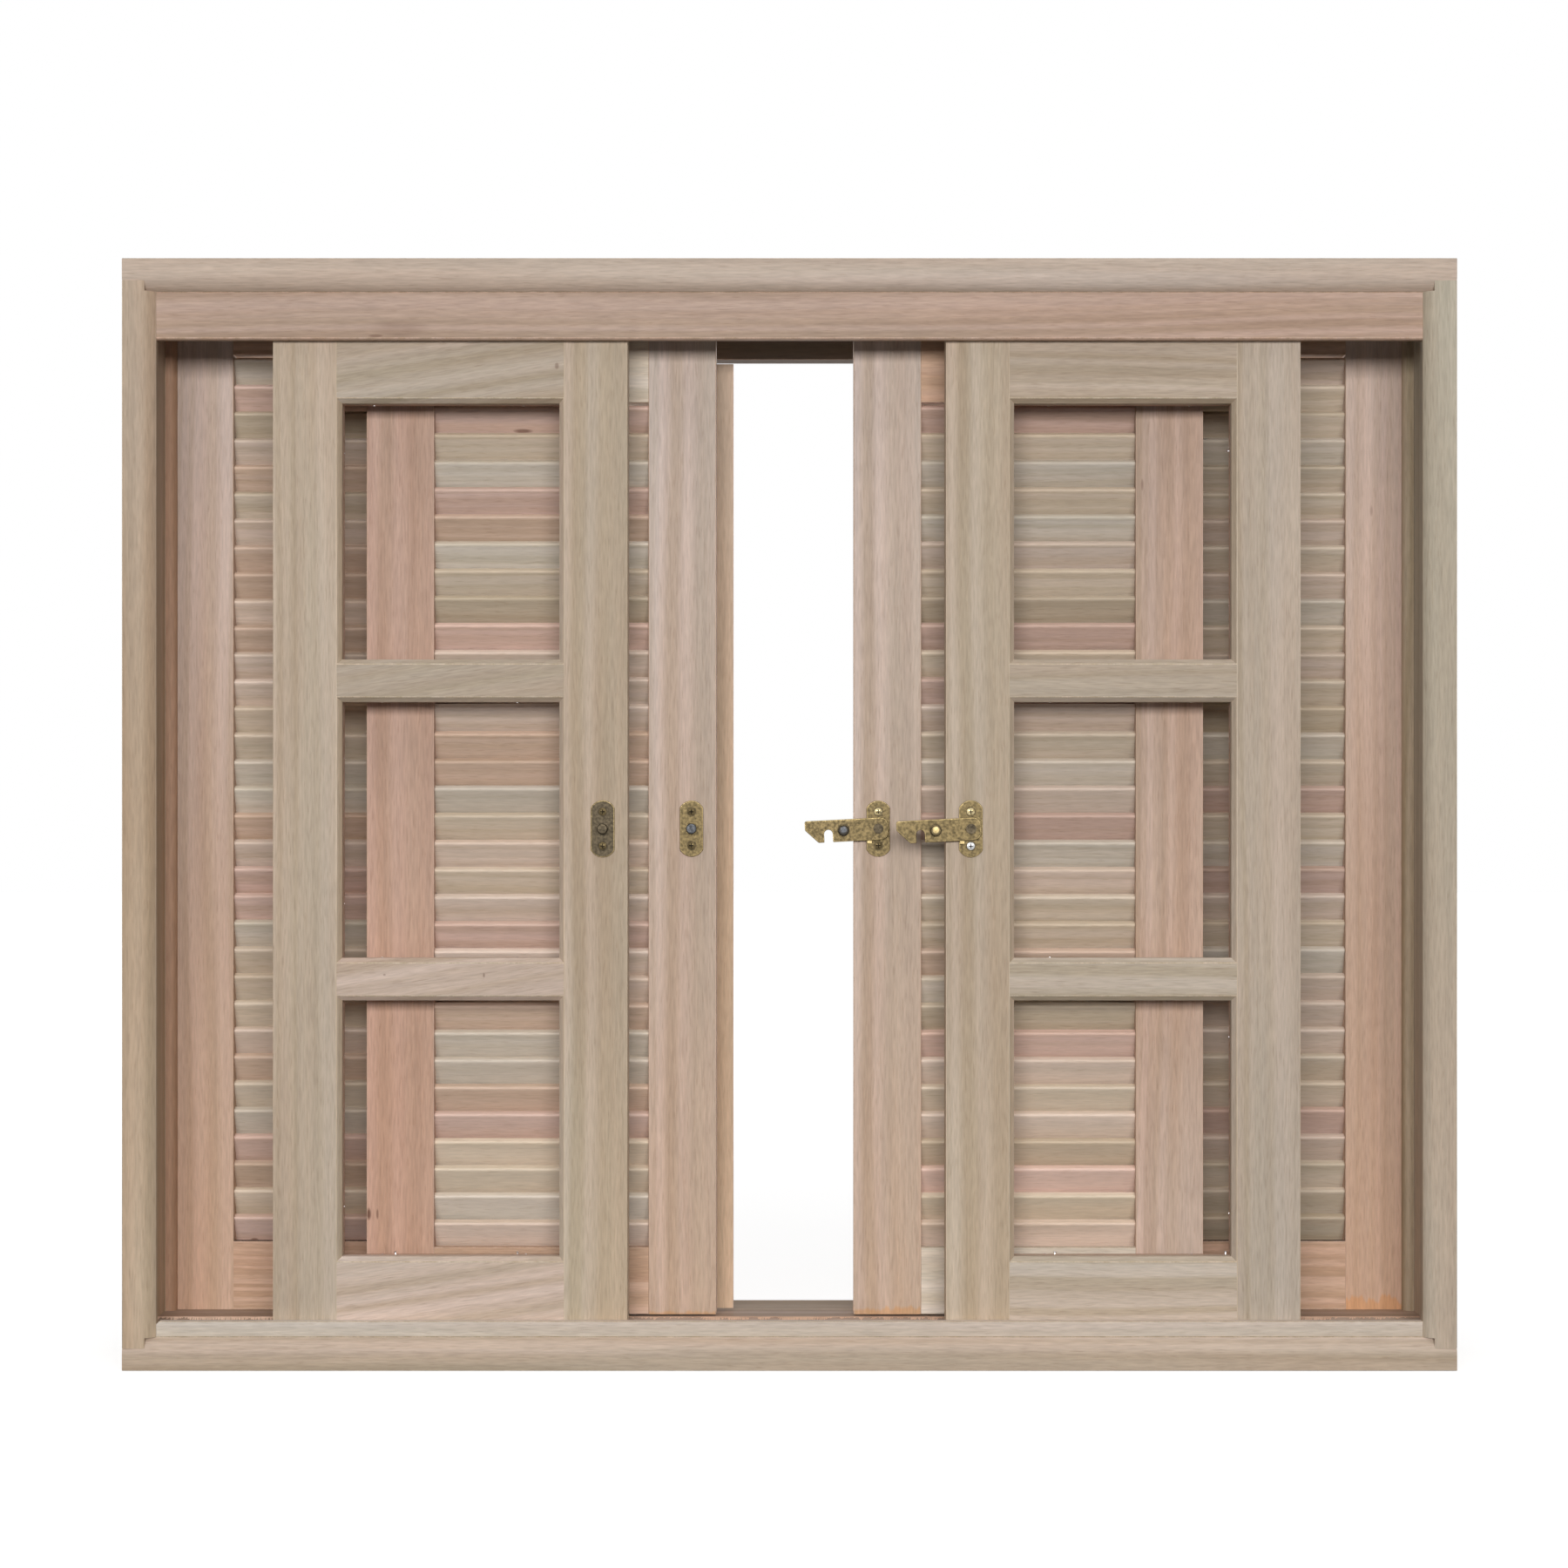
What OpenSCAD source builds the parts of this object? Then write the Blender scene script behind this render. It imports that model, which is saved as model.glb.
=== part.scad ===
// A sliding louvred wooden window, seen from the room side. Its frame holds two fixed louvred
// panels, two louvred shutters and two three-light sashes. Shutters and sashes hang on wheels
// behind a valance and slide along the frame. X runs along the window, Y from the room to the
// outside and Z up. The origin lies under the middle of the sill.

/* [Frame] */
// Width of the frame over its jambs
frame_w = 1200; // [1000:10:1600]
// Height of the frame over head and sill
frame_h = 1000; // [800:10:1300]
// Depth of the frame from the room to the outside
frame_depth = 140; // [132:1:180]
// Thickness of the boards that head, sill and jambs are cut from
board_t = 20; // [17:0.5:26]
// Height of the lips along the edges of the boards
lip_h = 9; // [7:0.5:13]
// Height of the thumb moulding on the front lips
thumb_h = 14.5; // [10:0.5:16]
// Depth of the thumb moulding on the front lips
thumb_d = 8; // [5:0.5:10]

/* [Valance, beads and sill] */
// Height of the valance under the head, and of the fascia behind it
valance_h = 43; // [38:1:60]
// Thickness of the valance and of the bead on the sill
valance_t = 8; // [6:0.5:14]
// Bevel along the lower edge of the valance
valance_bevel = 1.5; // [0.5:0.5:4]
// Height of the bead on the sill's front lip
front_bead_h = 14; // [12:0.5:20]
// Height of the sill's rear step and of the board that lies before it
sill_step_h = 39; // [32:0.5:42]
// Width of the quarter-round beads in front of the fixed panels
stop_bead_w = 10; // [8:0.5:14]
// Depth of the quarter-round beads
stop_bead_d = 9; // [7:0.5:10]
// Radius of the quarter-round beads
stop_bead_r = 7; // [3:0.5:7]

/* [Leaves] */
// Thickness of sashes, shutters and fixed panels
leaf_t = 25; // [24:0.5:28]
// Width of the stiles
stile_w = 62; // [56:1:72]
// Space between the hung leaves and the head's board
leaf_head_room = 40; // [38:1:50]
// Height of the shutters over the sill's step
shutter_lift = 2; // [1:0.5:4]
// Room between two leaves that meet in the middle
meeting_gap = 1; // [0.5:0.5:4]
// Thickness of the tenons
tenon_t = 8; // [6:0.5:8]
// Length of the tenons
tenon_l = 40; // [20:1:48]
// Thickness of the astragal on the left shutter
astragal_t = 8; // [6:0.5:12]
// Reach of the astragal past the shutter's edge
astragal_reach = 15.5; // [8:0.5:20]

/* [Louvres] */
// Height of the lowest louvre's foot over the sill's underside
louvre_start = 102.5; // [98:0.5:115]
// Distance from slat to slat
slat_pitch = 25; // [23:0.5:30]
// Width of a slat along its slope
slat_w = 28; // [26:0.5:28.5]
// Thickness of a slat
slat_t = 8; // [6:0.5:9]
// Lean of the slats from upright
slat_lean = 27; // [22:1:30]
// Radius of the slats' long edges
slat_edge_r = 2; // [1:0.25:3]
// Depth of the slats' housings in the stiles
slat_housing = 8; // [5:0.5:12]
// Least height of a shutter's top rail
shutter_rail_h = 60; // [56:1:80]
// Least height of a fixed panel's top rail
fixed_rail_h = 50; // [44:1:60]

/* [Sash lights] */
// Height of the sash's bottom rail
sash_bottom_h = 60.5; // [52:0.5:75]
// Height of the sash's middle rails
sash_mid_h = 38.5; // [36:0.5:50]
// Height of the sash's top rail
sash_top_h = 67.5; // [60:0.5:80]
// Size of the chamfer round the lights
light_chamfer = 4.3; // [2:0.1:4.5]
// Width of the glazing rebate round the lights
rebate_w = 8; // [6:0.5:10]
// Depth of the glazing rebate from the sash's back
rebate_d = 12; // [10:0.5:12.5]
// Depth of the glazing beads
glazing_bead_d = 8; // [5:0.5:9]

/* [Hanging gear] */
// Width of the aluminium tracks
track_w = 26; // [24:0.5:26]
// Height of the aluminium tracks
track_h = 20; // [19:0.5:24]
// Wall of the aluminium tracks
track_wall = 1.6; // [1.2:0.1:2]
// Width of the slot under the tracks
track_slot = 9; // [7:0.5:10]
// Radius of the nylon wheels
wheel_r = 6.5; // [5.5:0.25:7]
// Width of a nylon wheel
wheel_w = 6; // [5:0.25:7]
// Radius of the wheels' axles
axle_r = 2; // [1.5:0.25:2.5]
// Thickness of the hanger blades and feet
hanger_t = 3; // [2:0.25:4]
// Thickness of the guide fins under the leaves
guide_fin_t = 5; // [4:0.5:6]

/* [Latches] */
// Height of hooks and keepers over the middle of the sashes' middle light
latch_rise = 1; // [-40:0.5:40]
// Width of the latch plates
plate_w = 21.5; // [18:0.5:26]
// Length of the latch plates
plate_l = 51.5; // [46:0.5:60]
// Thickness of the latch plates
plate_t = 1.8; // [1.8:0.1:3]
// Radius of the latch plates' ends
plate_end_r = 12; // [11:0.5:22]
// Distance of the plates' middle from the meeting edge
plate_inset = 22.5; // [18:0.5:28]
// Height of the hook's arm
arm_h = 20.5; // [16:0.5:20.5]
// Thickness of the hook's arm
arm_t = 2.5; // [2:0.1:4]
// Droop of the hook's arm where it lies on its stop
arm_droop = 3; // [2:0.5:4]
// Radius of the keeper's neck
stud_neck_r = 3.5; // [2.5:0.1:4]
// Radius of the heads of stud and knob
stud_head_r = 4.8; // [4.5:0.1:6]
// Height of the knob on the hook's arm
knob_h = 5; // [3:0.5:8]

/* [Open leaves] */
// Distance of the left sash's meeting edge from the middle
left_sash_open = 146.5; // [0.5:0.5:200]
// Distance of the right sash's meeting edge from the middle
right_sash_open = 141.5; // [0.5:0.5:200]
// Distance of the left shutter's meeting edge from the middle
left_shutter_open = 67.5; // [0.5:0.5:140]
// Distance of the right shutter's meeting edge from the middle
right_shutter_open = 59; // [0.5:0.5:140]

/* [Hidden] */
$fn = 64;
// One overrun serves all cuts
over = 1;
// Clearances: between joined wood, round slats, of moving pieces, round screws
joint_fit = 0.1;
slat_fit = 0.15;
slide_gap = 1;
turn_gap = 0.2;
screw_fit = 0.05;

// Frame
half_w = frame_w / 2;
recess_half = half_w - board_t;
face_h = board_t + lip_h;
lip_half = half_w - face_h;
lip_d = thumb_d + valance_t;
thumb_r = (thumb_d * thumb_d + thumb_h * thumb_h) / (2 * thumb_d);
front_y = -frame_depth / 2;
head_board_z = frame_h - board_t;
head_lip_z = frame_h - face_h;
valance_z = head_lip_z - valance_h;
front_bead_bevel = 2.5;

// Leaves, by depth behind the frame's front face
astragal_clear = 3;
latch_clear = 2.3;
arm_lift = 1.2;
latch_stack = plate_t + arm_lift + turn_gap + arm_t + knob_h;
sash_front = lip_d + slide_gap;
sash_back = sash_front + leaf_t;
shutter_front = sash_back + latch_stack + latch_clear;
shutter_back = shutter_front + leaf_t;
fixed_front = shutter_back + astragal_t + astragal_clear;
fixed_back = fixed_front + leaf_t;
rear_lip_d = frame_depth - fixed_back;
sash_trough = 12;
track_board_front = sash_back + sash_trough;

// A closed shutter's outer stile covers the inner stile of the fixed panel
leaf_w = (recess_half + stile_w) / 2;
leaf_span = leaf_w - 2 * stile_w;
leaf_mid = leaf_t / 2;
leaf_top = head_board_z - leaf_head_room;
shutter_bottom = sill_step_h + shutter_lift;
sash_bottom = sill_step_h;
rail_shoulder = 14;
mid_rail_shoulder = 10;
mortise_room = 0.5;

// Louvres
slat_room = 1;
slat_half_h = slat_t / 2 * sin(slat_lean) + slat_w / 2 * cos(slat_lean);
slat_end_room = 0.2;
shutter_slats = floor((leaf_top - shutter_rail_h - louvre_start - slat_room) / slat_pitch);
fixed_slats = floor((head_board_z - fixed_rail_h - louvre_start - slat_room) / slat_pitch);
shutter_louvre_top = louvre_start + shutter_slats * slat_pitch + slat_room;
fixed_louvre_top = louvre_start + fixed_slats * slat_pitch + slat_room;
weather_slope = 35;
weather_flat = 8;
weather_drop = (leaf_t - weather_flat) * tan(weather_slope);

// Sash lights, from the lowest up
light_count = 3;
sash_rails_h = sash_bottom_h + sash_top_h + (light_count - 1) * sash_mid_h;
light_h = (leaf_top - sash_bottom - sash_rails_h) / light_count;
light_step = light_h + sash_mid_h;
light_start = sash_bottom + sash_bottom_h;
sash_tenon_d = (leaf_t - rebate_d + light_chamfer - tenon_t) / 2;
glazing_set_in = 0.5;
glazing_bead_w = rebate_w - glazing_set_in;
glazing_bead_bevel = 3;

// Astragal
astragal_lap = 20;
astragal_relief = 1;
astragal_top_inset = 22;
astragal_bevel = 2;

// Hanging gear
track_z = head_board_z - track_h;
wheel_gap = 0.3;
wheel_side_gap = 0.5;
axle_z = track_z + track_wall + wheel_gap + wheel_r;
axle_end = 0.5;
hanger_inset = stile_w / 2;
hanger_foot_w = 22;
hanger_foot_l = 44;
hanger_blade_l = 24;
hanger_screw_pitch = 33;
hanger_top = axle_r + hanger_t;
guide_l = 30;
guide_base_w = 16;
guide_groove_h = 12;
guide_groove_w = guide_fin_t + slide_gap;
guide_top_room = 2;
guide_mortise = 10;
guide_x = (recess_half - slide_gap) / 2 + meeting_gap / 4;

// Latches
latch_z = light_z(1) + light_h / 2 + latch_rise;
hook_reach = 2 * plate_inset + meeting_gap;
plate_screw_pitch = 31;
screw_head_r = 3.5;
screw_shank_r = 1.75;
screw_l = 16;
screw_dome = 0.8;
screw_slot_w = 1;
screw_slot_l = 4;
rivet_r = 3;
rivet_head_r = 4.6;
rivet_head_h = 1.6;
boss_r = 5.5;
stud_neck_h = arm_lift + arm_t + 2 * turn_gap;
stud_head_h = 2;
stud_round = 1;
slot_gap = 0.4;
slot_r = stud_neck_r + slot_gap;
slot_depth = 11.5;
prong_w = 17.5;
beak_drop = 12;
beak_corner_r = 2;
tail_l = 9.2;
tail_r = 7;
knob_x = 32;
knob_neck_r = 3.2;
knob_neck_h = 2;
stop_w = 4;
stop_h = 2.6;
stop_x = 8;

// Wood and metal tones
wood_straw = [0.79, 0.71, 0.58];
wood_pink = [0.80, 0.66, 0.57];
wood_rose = [0.74, 0.58, 0.48];
wood_tan = [0.72, 0.62, 0.50];
wood_grey = [0.74, 0.68, 0.60];
alu = [0.80, 0.81, 0.82];
zinc = [0.66, 0.67, 0.68];
nylon = [0.92, 0.91, 0.87];
bronze = [0.36, 0.29, 0.21];
brass = [0.60, 0.50, 0.30];

// Height of the middle of slat k, counted from the lowest
function slat_z(k) = louvre_start + (k + 1) * slat_pitch - slat_half_h;
// Foot of light i, counted from the lowest
function light_z(i) = light_start + i * light_step;

// A box given by its corner: across, depth behind the frame's front face, height
module block(x, d, z, w, depth, h) {
    translate([x, front_y + d, z]) cube([w, depth, h]);
}

// Stretches a section of depth and height along X
module along_x(x, l) {
    translate([x, 0, 0]) rotate([90, 0, 90]) linear_extrude(l) children();
}

// Puts a piece that is drawn from the frame's front face in place
module from_front() {
    translate([0, front_y, 0]) children();
}

module rounded_bar(w, h, r) {
    square([w - 2 * r, h], center = true);
    square([w, h - 2 * r], center = true);
    for (sx = [-1, 1], sy = [-1, 1])
        translate([sx * (w / 2 - r), sy * (h / 2 - r)]) circle(r = r);
}

// Frame: boards with a moulded lip in front and a plain one behind
module thumb_cut() {
    difference() {
        translate([-over, face_h - thumb_h]) square([thumb_d + over, thumb_h + over]);
        translate([thumb_r, face_h - thumb_h]) circle(r = thumb_r);
    }
}

module member_section(rear_d, rear_h) {
    difference() {
        union() {
            square([frame_depth, board_t]);
            square([lip_d, face_h]);
            translate([frame_depth - rear_d, 0]) square([rear_d, rear_h]);
        }
        thumb_cut();
    }
}

// Head and sill run through, with their lips cut away where the jambs stand
module cross_member(rear_d, rear_h) {
    difference() {
        from_front() along_x(-half_w, frame_w) member_section(rear_d, rear_h);
        for (x = [-half_w - over, recess_half])
            block(x, -over, board_t, board_t + over, frame_depth + 2 * over, rear_h + face_h);
    }
}

module head() {
    color(wood_pink)
        translate([0, 0, frame_h]) mirror([0, 0, 1]) cross_member(rear_lip_d, face_h);
}

module sill() {
    color(wood_straw) cross_member(frame_depth - fixed_front, sill_step_h);
}

// A jamb's board stands between head and sill, and its lips stop on theirs
module jamb() {
    difference() {
        translate([half_w, front_y, board_t])
            rotate([0, 0, 90]) linear_extrude(head_board_z - board_t)
                member_section(rear_lip_d, face_h);
        for (z = [board_t - over, head_lip_z])
            block(lip_half - over, -over, z, lip_h + over, frame_depth + 2 * over, lip_h + over);
        block(lip_half - over, fixed_back - over, board_t - over,
            lip_h + over, rear_lip_d + 2 * over, sill_step_h - board_t + over);
    }
}

module left_jamb() {
    color(wood_straw) mirror([1, 0, 0]) jamb();
}

module right_jamb() {
    color(wood_straw) jamb();
}

module valance() {
    section = [
        [0, valance_bevel], [valance_bevel, 0], [valance_t, 0],
        [valance_t, valance_h], [0, valance_h]
    ];
    color(wood_rose)
        translate([0, front_y + thumb_d, valance_z])
            along_x(-lip_half + joint_fit, 2 * (lip_half - joint_fit)) polygon(section);
}

module rear_fascia() {
    color(wood_tan)
        block(-lip_half + joint_fit, fixed_back, valance_z,
            2 * (lip_half - joint_fit), rear_lip_d, valance_h);
}

module front_bead() {
    l = 2 * (lip_half - joint_fit);
    face = [
        [0, 0], [l, 0], [l, front_bead_h], [front_bead_bevel, front_bead_h],
        [0, front_bead_h - front_bead_bevel]
    ];
    color(wood_straw)
        translate([-lip_half + joint_fit, front_y + lip_d, face_h])
            rotate([90, 0, 0]) linear_extrude(valance_t) polygon(face);
}

// The shutters' guides are let into this board
module track_board() {
    color(wood_rose)
        difference() {
            block(-recess_half, track_board_front, board_t,
                2 * recess_half, fixed_front - track_board_front, sill_step_h - board_t);
            for (side = [-1, 1])
                translate([side * guide_x, 0, 0])
                    block(-guide_l / 2 - joint_fit, shutter_front + leaf_mid - guide_fin_t / 2 - joint_fit,
                        sill_step_h - guide_mortise, guide_l + 2 * joint_fit,
                        guide_fin_t + 2 * joint_fit, guide_mortise + over);
        }
}

module stop_bead() {
    translate([recess_half - stop_bead_w, front_y + fixed_front - stop_bead_d, sill_step_h])
        linear_extrude(head_board_z - sill_step_h)
            difference() {
                square([stop_bead_w, stop_bead_d]);
                difference() {
                    translate([-over, -over]) square(stop_bead_r + over);
                    translate([stop_bead_r, stop_bead_r]) circle(r = stop_bead_r);
                }
            }
}

module stop_beads() {
    color(wood_tan) {
        stop_bead();
        mirror([1, 0, 0]) stop_bead();
    }
}

// A track is a channel with its slot below, screwed flat under the head's board
module track_section() {
    difference() {
        translate([-track_w / 2, 0]) square([track_w, track_h]);
        translate([-track_w / 2 + track_wall, track_wall])
            square([track_w - 2 * track_wall, track_h - 2 * track_wall]);
        translate([-track_slot / 2, -over]) square([track_slot, track_wall + 2 * over]);
    }
}

module track(leaf_front) {
    translate([0, front_y + leaf_front + leaf_mid, track_z])
        along_x(-recess_half + slide_gap / 2, 2 * recess_half - slide_gap) track_section();
}

module sash_track() {
    color(alu) track(sash_front);
}

module shutter_track() {
    color(alu) track(shutter_front);
}

// Guides stand under the stretch that their leaf covers wherever it slides
module sash_guides() {
    color(nylon)
        for (side = [-1, 1])
            translate([side * guide_x - guide_l / 2, front_y + sash_front + leaf_mid, board_t]) {
                translate([0, -guide_base_w / 2, 0])
                    cube([guide_l, guide_base_w, sash_bottom - board_t - guide_top_room]);
                translate([0, -guide_fin_t / 2, 0])
                    cube([guide_l, guide_fin_t, sash_bottom - board_t + guide_groove_h - guide_top_room]);
            }
}

module shutter_guides() {
    color(nylon)
        for (side = [-1, 1])
            translate([side * guide_x, 0, 0])
                block(-guide_l / 2, shutter_front + leaf_mid - guide_fin_t / 2, sill_step_h - guide_mortise,
                    guide_l, guide_fin_t,
                    guide_mortise + shutter_lift + guide_groove_h - guide_top_room);
}

// Leaves are drawn with X from the meeting edge outward and Y from their own front face
module right_leaf(open, front) {
    translate([open, front_y + front, 0]) children();
}

module left_leaf(open, front) {
    mirror([1, 0, 0]) right_leaf(open, front) children();
}

module outer_edge() {
    translate([leaf_w, 0, 0]) mirror([1, 0, 0]) children();
}

module slat_section(fit) {
    rotate(slat_lean)
        rounded_bar(slat_t + 2 * fit, slat_w + 2 * fit, slat_edge_r + fit);
}

module slats(count) {
    l = leaf_span + 2 * (slat_housing - slat_end_room);
    for (k = [0 : count - 1])
        translate([stile_w - slat_housing + slat_end_room, leaf_mid, slat_z(k)])
            along_x(0, l) slat_section(0);
}

module mortise(d, z, h, shoulder) {
    translate([
        stile_w - tenon_l - mortise_room, d - joint_fit, z + shoulder - joint_fit
    ])
        cube([
            tenon_l + mortise_room + over, tenon_t + 2 * joint_fit, h - 2 * (shoulder - joint_fit)
        ]);
}

module tenons(d, z, h, shoulder) {
    translate([stile_w - tenon_l, d, z + shoulder])
        cube([leaf_span + 2 * tenon_l, tenon_t, h - 2 * shoulder]);
}

module guide_groove(z) {
    translate([-over, leaf_mid - guide_groove_w / 2, z - over])
        cube([leaf_w + 2 * over, guide_groove_w, guide_groove_h + over]);
}

module louvred_stile(bottom, top, louvre_top, count) {
    tenon_d = leaf_mid - tenon_t / 2;
    difference() {
        translate([0, 0, bottom]) cube([stile_w, leaf_t, top - bottom]);
        mortise(tenon_d, bottom, louvre_start - bottom, rail_shoulder);
        mortise(tenon_d, louvre_top, top - louvre_top, rail_shoulder);
        for (k = [0 : count - 1])
            translate([stile_w - slat_housing, leaf_mid, slat_z(k)])
                along_x(0, slat_housing + over) slat_section(slat_fit);
    }
}

module louvred_top_rail(louvre_top, top) {
    translate([stile_w, 0, louvre_top]) cube([leaf_span, leaf_t, top - louvre_top]);
    tenons(leaf_mid - tenon_t / 2, louvre_top, top - louvre_top, rail_shoulder);
}

// The bottom rail is weathered, so that it sheds rain under the lowest slat
module louvred_bottom_rail(bottom) {
    h = louvre_start - bottom;
    section = [
        [0, 0], [leaf_t, 0], [leaf_t, h - weather_drop], [weather_flat, h], [0, h]
    ];
    translate([0, 0, bottom]) along_x(stile_w, leaf_span) polygon(section);
    tenons(leaf_mid - tenon_t / 2, bottom, h, rail_shoulder);
}

// Fixed panels stand on the sill's step, against the rear lips
module fixed_leaf() {
    right_leaf(recess_half - leaf_w, fixed_front) children();
}

module fixed_stiles() {
    fixed_leaf() {
        louvred_stile(sill_step_h, head_board_z, fixed_louvre_top, fixed_slats);
        outer_edge() louvred_stile(sill_step_h, head_board_z, fixed_louvre_top, fixed_slats);
    }
}

module fixed_rails() {
    fixed_leaf() {
        louvred_top_rail(fixed_louvre_top, head_board_z);
        louvred_bottom_rail(sill_step_h);
    }
}

module left_fixed_stiles() {
    color(wood_pink) mirror([1, 0, 0]) fixed_stiles();
}

module left_fixed_rails() {
    color(wood_tan) mirror([1, 0, 0]) fixed_rails();
}

module left_fixed_slats() {
    color(wood_grey) mirror([1, 0, 0]) fixed_leaf() slats(fixed_slats);
}

module right_fixed_stiles() {
    color(wood_rose) fixed_stiles();
}

module right_fixed_rails() {
    color(wood_rose) fixed_rails();
}

module right_fixed_slats() {
    color(wood_grey) fixed_leaf() slats(fixed_slats);
}

// Screws have a raised countersunk head, drawn with its rim at height zero
module screw_body(fit) {
    cone_h = screw_head_r - screw_shank_r;
    translate([0, 0, -cone_h]) cylinder(r1 = screw_shank_r + fit, r2 = screw_head_r + fit, h = cone_h);
    translate([0, 0, -screw_l]) cylinder(r = screw_shank_r + fit, h = screw_l);
}

module screw() {
    dome_r = (screw_head_r * screw_head_r + screw_dome * screw_dome) / (2 * screw_dome);
    difference() {
        union() {
            screw_body(0);
            intersection() {
                cylinder(r = screw_head_r, h = screw_dome);
                translate([0, 0, screw_dome - dome_r]) sphere(r = dome_r);
            }
        }
        for (turn = [0, 90])
            rotate(turn)
                translate([-screw_slot_l / 2, -screw_slot_w / 2, 0])
                    cube([screw_slot_l, screw_slot_w, screw_dome + over]);
    }
}

module plate_screw_places() {
    for (side = [-1, 1])
        translate([plate_inset, -plate_t, latch_z + side * plate_screw_pitch / 2])
            rotate([90, 0, 0]) children();
}

module hanger_screw_places() {
    for (x = [hanger_inset, leaf_w - hanger_inset], side = [-1, 1])
        translate([x + side * hanger_screw_pitch / 2, leaf_mid, leaf_top + hanger_t]) children();
}

module leaf_screws() {
    plate_screw_places() screw();
    hanger_screw_places() screw();
}

module screw_holes() {
    plate_screw_places() screw_body(screw_fit);
    hanger_screw_places() screw_body(screw_fit);
}

// Hangers: a foot on each stile's top and a blade that carries the axle in the track
module hanger() {
    difference() {
        union() {
            translate([-hanger_foot_l / 2, -hanger_foot_w / 2, leaf_top])
                cube([hanger_foot_l, hanger_foot_w, hanger_t]);
            translate([-hanger_blade_l / 2, -hanger_t / 2, leaf_top])
                cube([hanger_blade_l, hanger_t, axle_z - leaf_top]);
            translate([0, hanger_t / 2, axle_z])
                rotate([90, 0, 0]) cylinder(r = hanger_blade_l / 2, h = hanger_t);
        }
        translate([-hanger_blade_l / 2 - over, -hanger_t, axle_z + hanger_top])
            cube([hanger_blade_l + 2 * over, 2 * hanger_t, hanger_blade_l]);
        translate([0, hanger_t, axle_z])
            rotate([90, 0, 0]) cylinder(r = axle_r + turn_gap, h = 2 * hanger_t);
    }
}

module hangers() {
    difference() {
        for (x = [hanger_inset, leaf_w - hanger_inset])
            translate([x, leaf_mid, 0]) hanger();
        hanger_screw_places() screw_body(screw_fit);
    }
}

// Two nylon wheels moulded on one axle, either side of the blade
module wheel_pair(x) {
    inner = hanger_t / 2 + wheel_side_gap;
    axle_half = inner + wheel_w + axle_end;
    translate([x, leaf_mid, axle_z])
        rotate([90, 0, 0]) {
            translate([0, 0, inner]) cylinder(r = wheel_r, h = wheel_w);
            translate([0, 0, -inner - wheel_w]) cylinder(r = wheel_r, h = wheel_w);
            translate([0, 0, -axle_half]) cylinder(r = axle_r, h = 2 * axle_half);
        }
}

module inner_wheel() {
    wheel_pair(hanger_inset);
}

module outer_wheel() {
    wheel_pair(leaf_w - hanger_inset);
}

// Latch plates: arced ends, two screws and, in the middle, a stud or a pivot
module plate_outline() {
    mid_l = plate_l - 2 * plate_end_r;
    intersection() {
        square([plate_w, plate_l], center = true);
        union() {
            square([2 * plate_end_r, mid_l], center = true);
            for (side = [-1, 1])
                translate([0, side * mid_l / 2]) circle(r = plate_end_r);
        }
    }
}

module plate_blank() {
    rotate([90, 0, 0])
        difference() {
            linear_extrude(plate_t) plate_outline();
            for (side = [-1, 1])
                translate([0, side * plate_screw_pitch / 2, plate_t]) screw_body(screw_fit);
        }
}

module at_plate() {
    translate([plate_inset, 0, latch_z]) children();
}

// A turned knob: a neck and a head with rounded rims
module turned_stud(neck_r, neck_h, head_r, head_h) {
    rotate_extrude() {
        square([neck_r, neck_h + head_h / 2]);
        translate([0, neck_h]) square([head_r - stud_round, head_h]);
        translate([0, neck_h]) square([head_r, head_h - stud_round]);
        translate([head_r - stud_round, neck_h + head_h - stud_round]) circle(r = stud_round);
    }
}

module keeper() {
    at_plate() {
        plate_blank();
        translate([0, -plate_t, 0])
            rotate([90, 0, 0]) turned_stud(stud_neck_r, stud_neck_h, stud_head_r, stud_head_h);
    }
}

// The pivot's boss lifts the arm over the screw heads, and its rivet head holds it
module hook_plate() {
    pin_h = arm_lift + arm_t + 2 * turn_gap;
    stop_z = (arm_h / 2 + stop_x * sin(arm_droop)) / cos(arm_droop) + turn_gap + stop_h;
    at_plate() {
        plate_blank();
        translate([0, -plate_t, 0])
            rotate([90, 0, 0]) {
                cylinder(r = boss_r, h = arm_lift);
                cylinder(r = rivet_r, h = pin_h + rivet_head_h / 2);
                translate([0, 0, pin_h]) cylinder(r = rivet_head_r, h = rivet_head_h);
            }
        translate([-stop_x - stop_w / 2, -plate_t - pin_h, -stop_z])
            cube([stop_w, pin_h + plate_t / 2, stop_h]);
    }
}

module arm_outline() {
    arm_l = hook_reach + slot_r + prong_w;
    tail_flat = arm_h - 2 * tail_r;
    difference() {
        union() {
            translate([-arm_l + beak_corner_r, -arm_h / 2])
                square([arm_l - beak_corner_r + tail_l - tail_r, arm_h]);
            translate([-arm_l, -arm_h / 2]) square([arm_l, arm_h - beak_corner_r]);
            translate([-arm_l + beak_corner_r, arm_h / 2 - beak_corner_r]) circle(r = beak_corner_r);
            translate([0, -tail_flat / 2]) square([tail_l, tail_flat]);
            for (side = [-1, 1])
                translate([tail_l - tail_r, side * tail_flat / 2]) circle(r = tail_r);
        }
        circle(r = rivet_r + turn_gap);
        translate([-hook_reach - slot_r, -arm_h / 2 - over])
            square([2 * slot_r, slot_depth - slot_r + over]);
        translate([-hook_reach, -arm_h / 2 + slot_depth - slot_r]) circle(r = slot_r);
        translate([-arm_l, -arm_h / 2])
            polygon([[-over, -over], [beak_drop + over, -over], [-over, beak_drop + over]]);
    }
}

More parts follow.
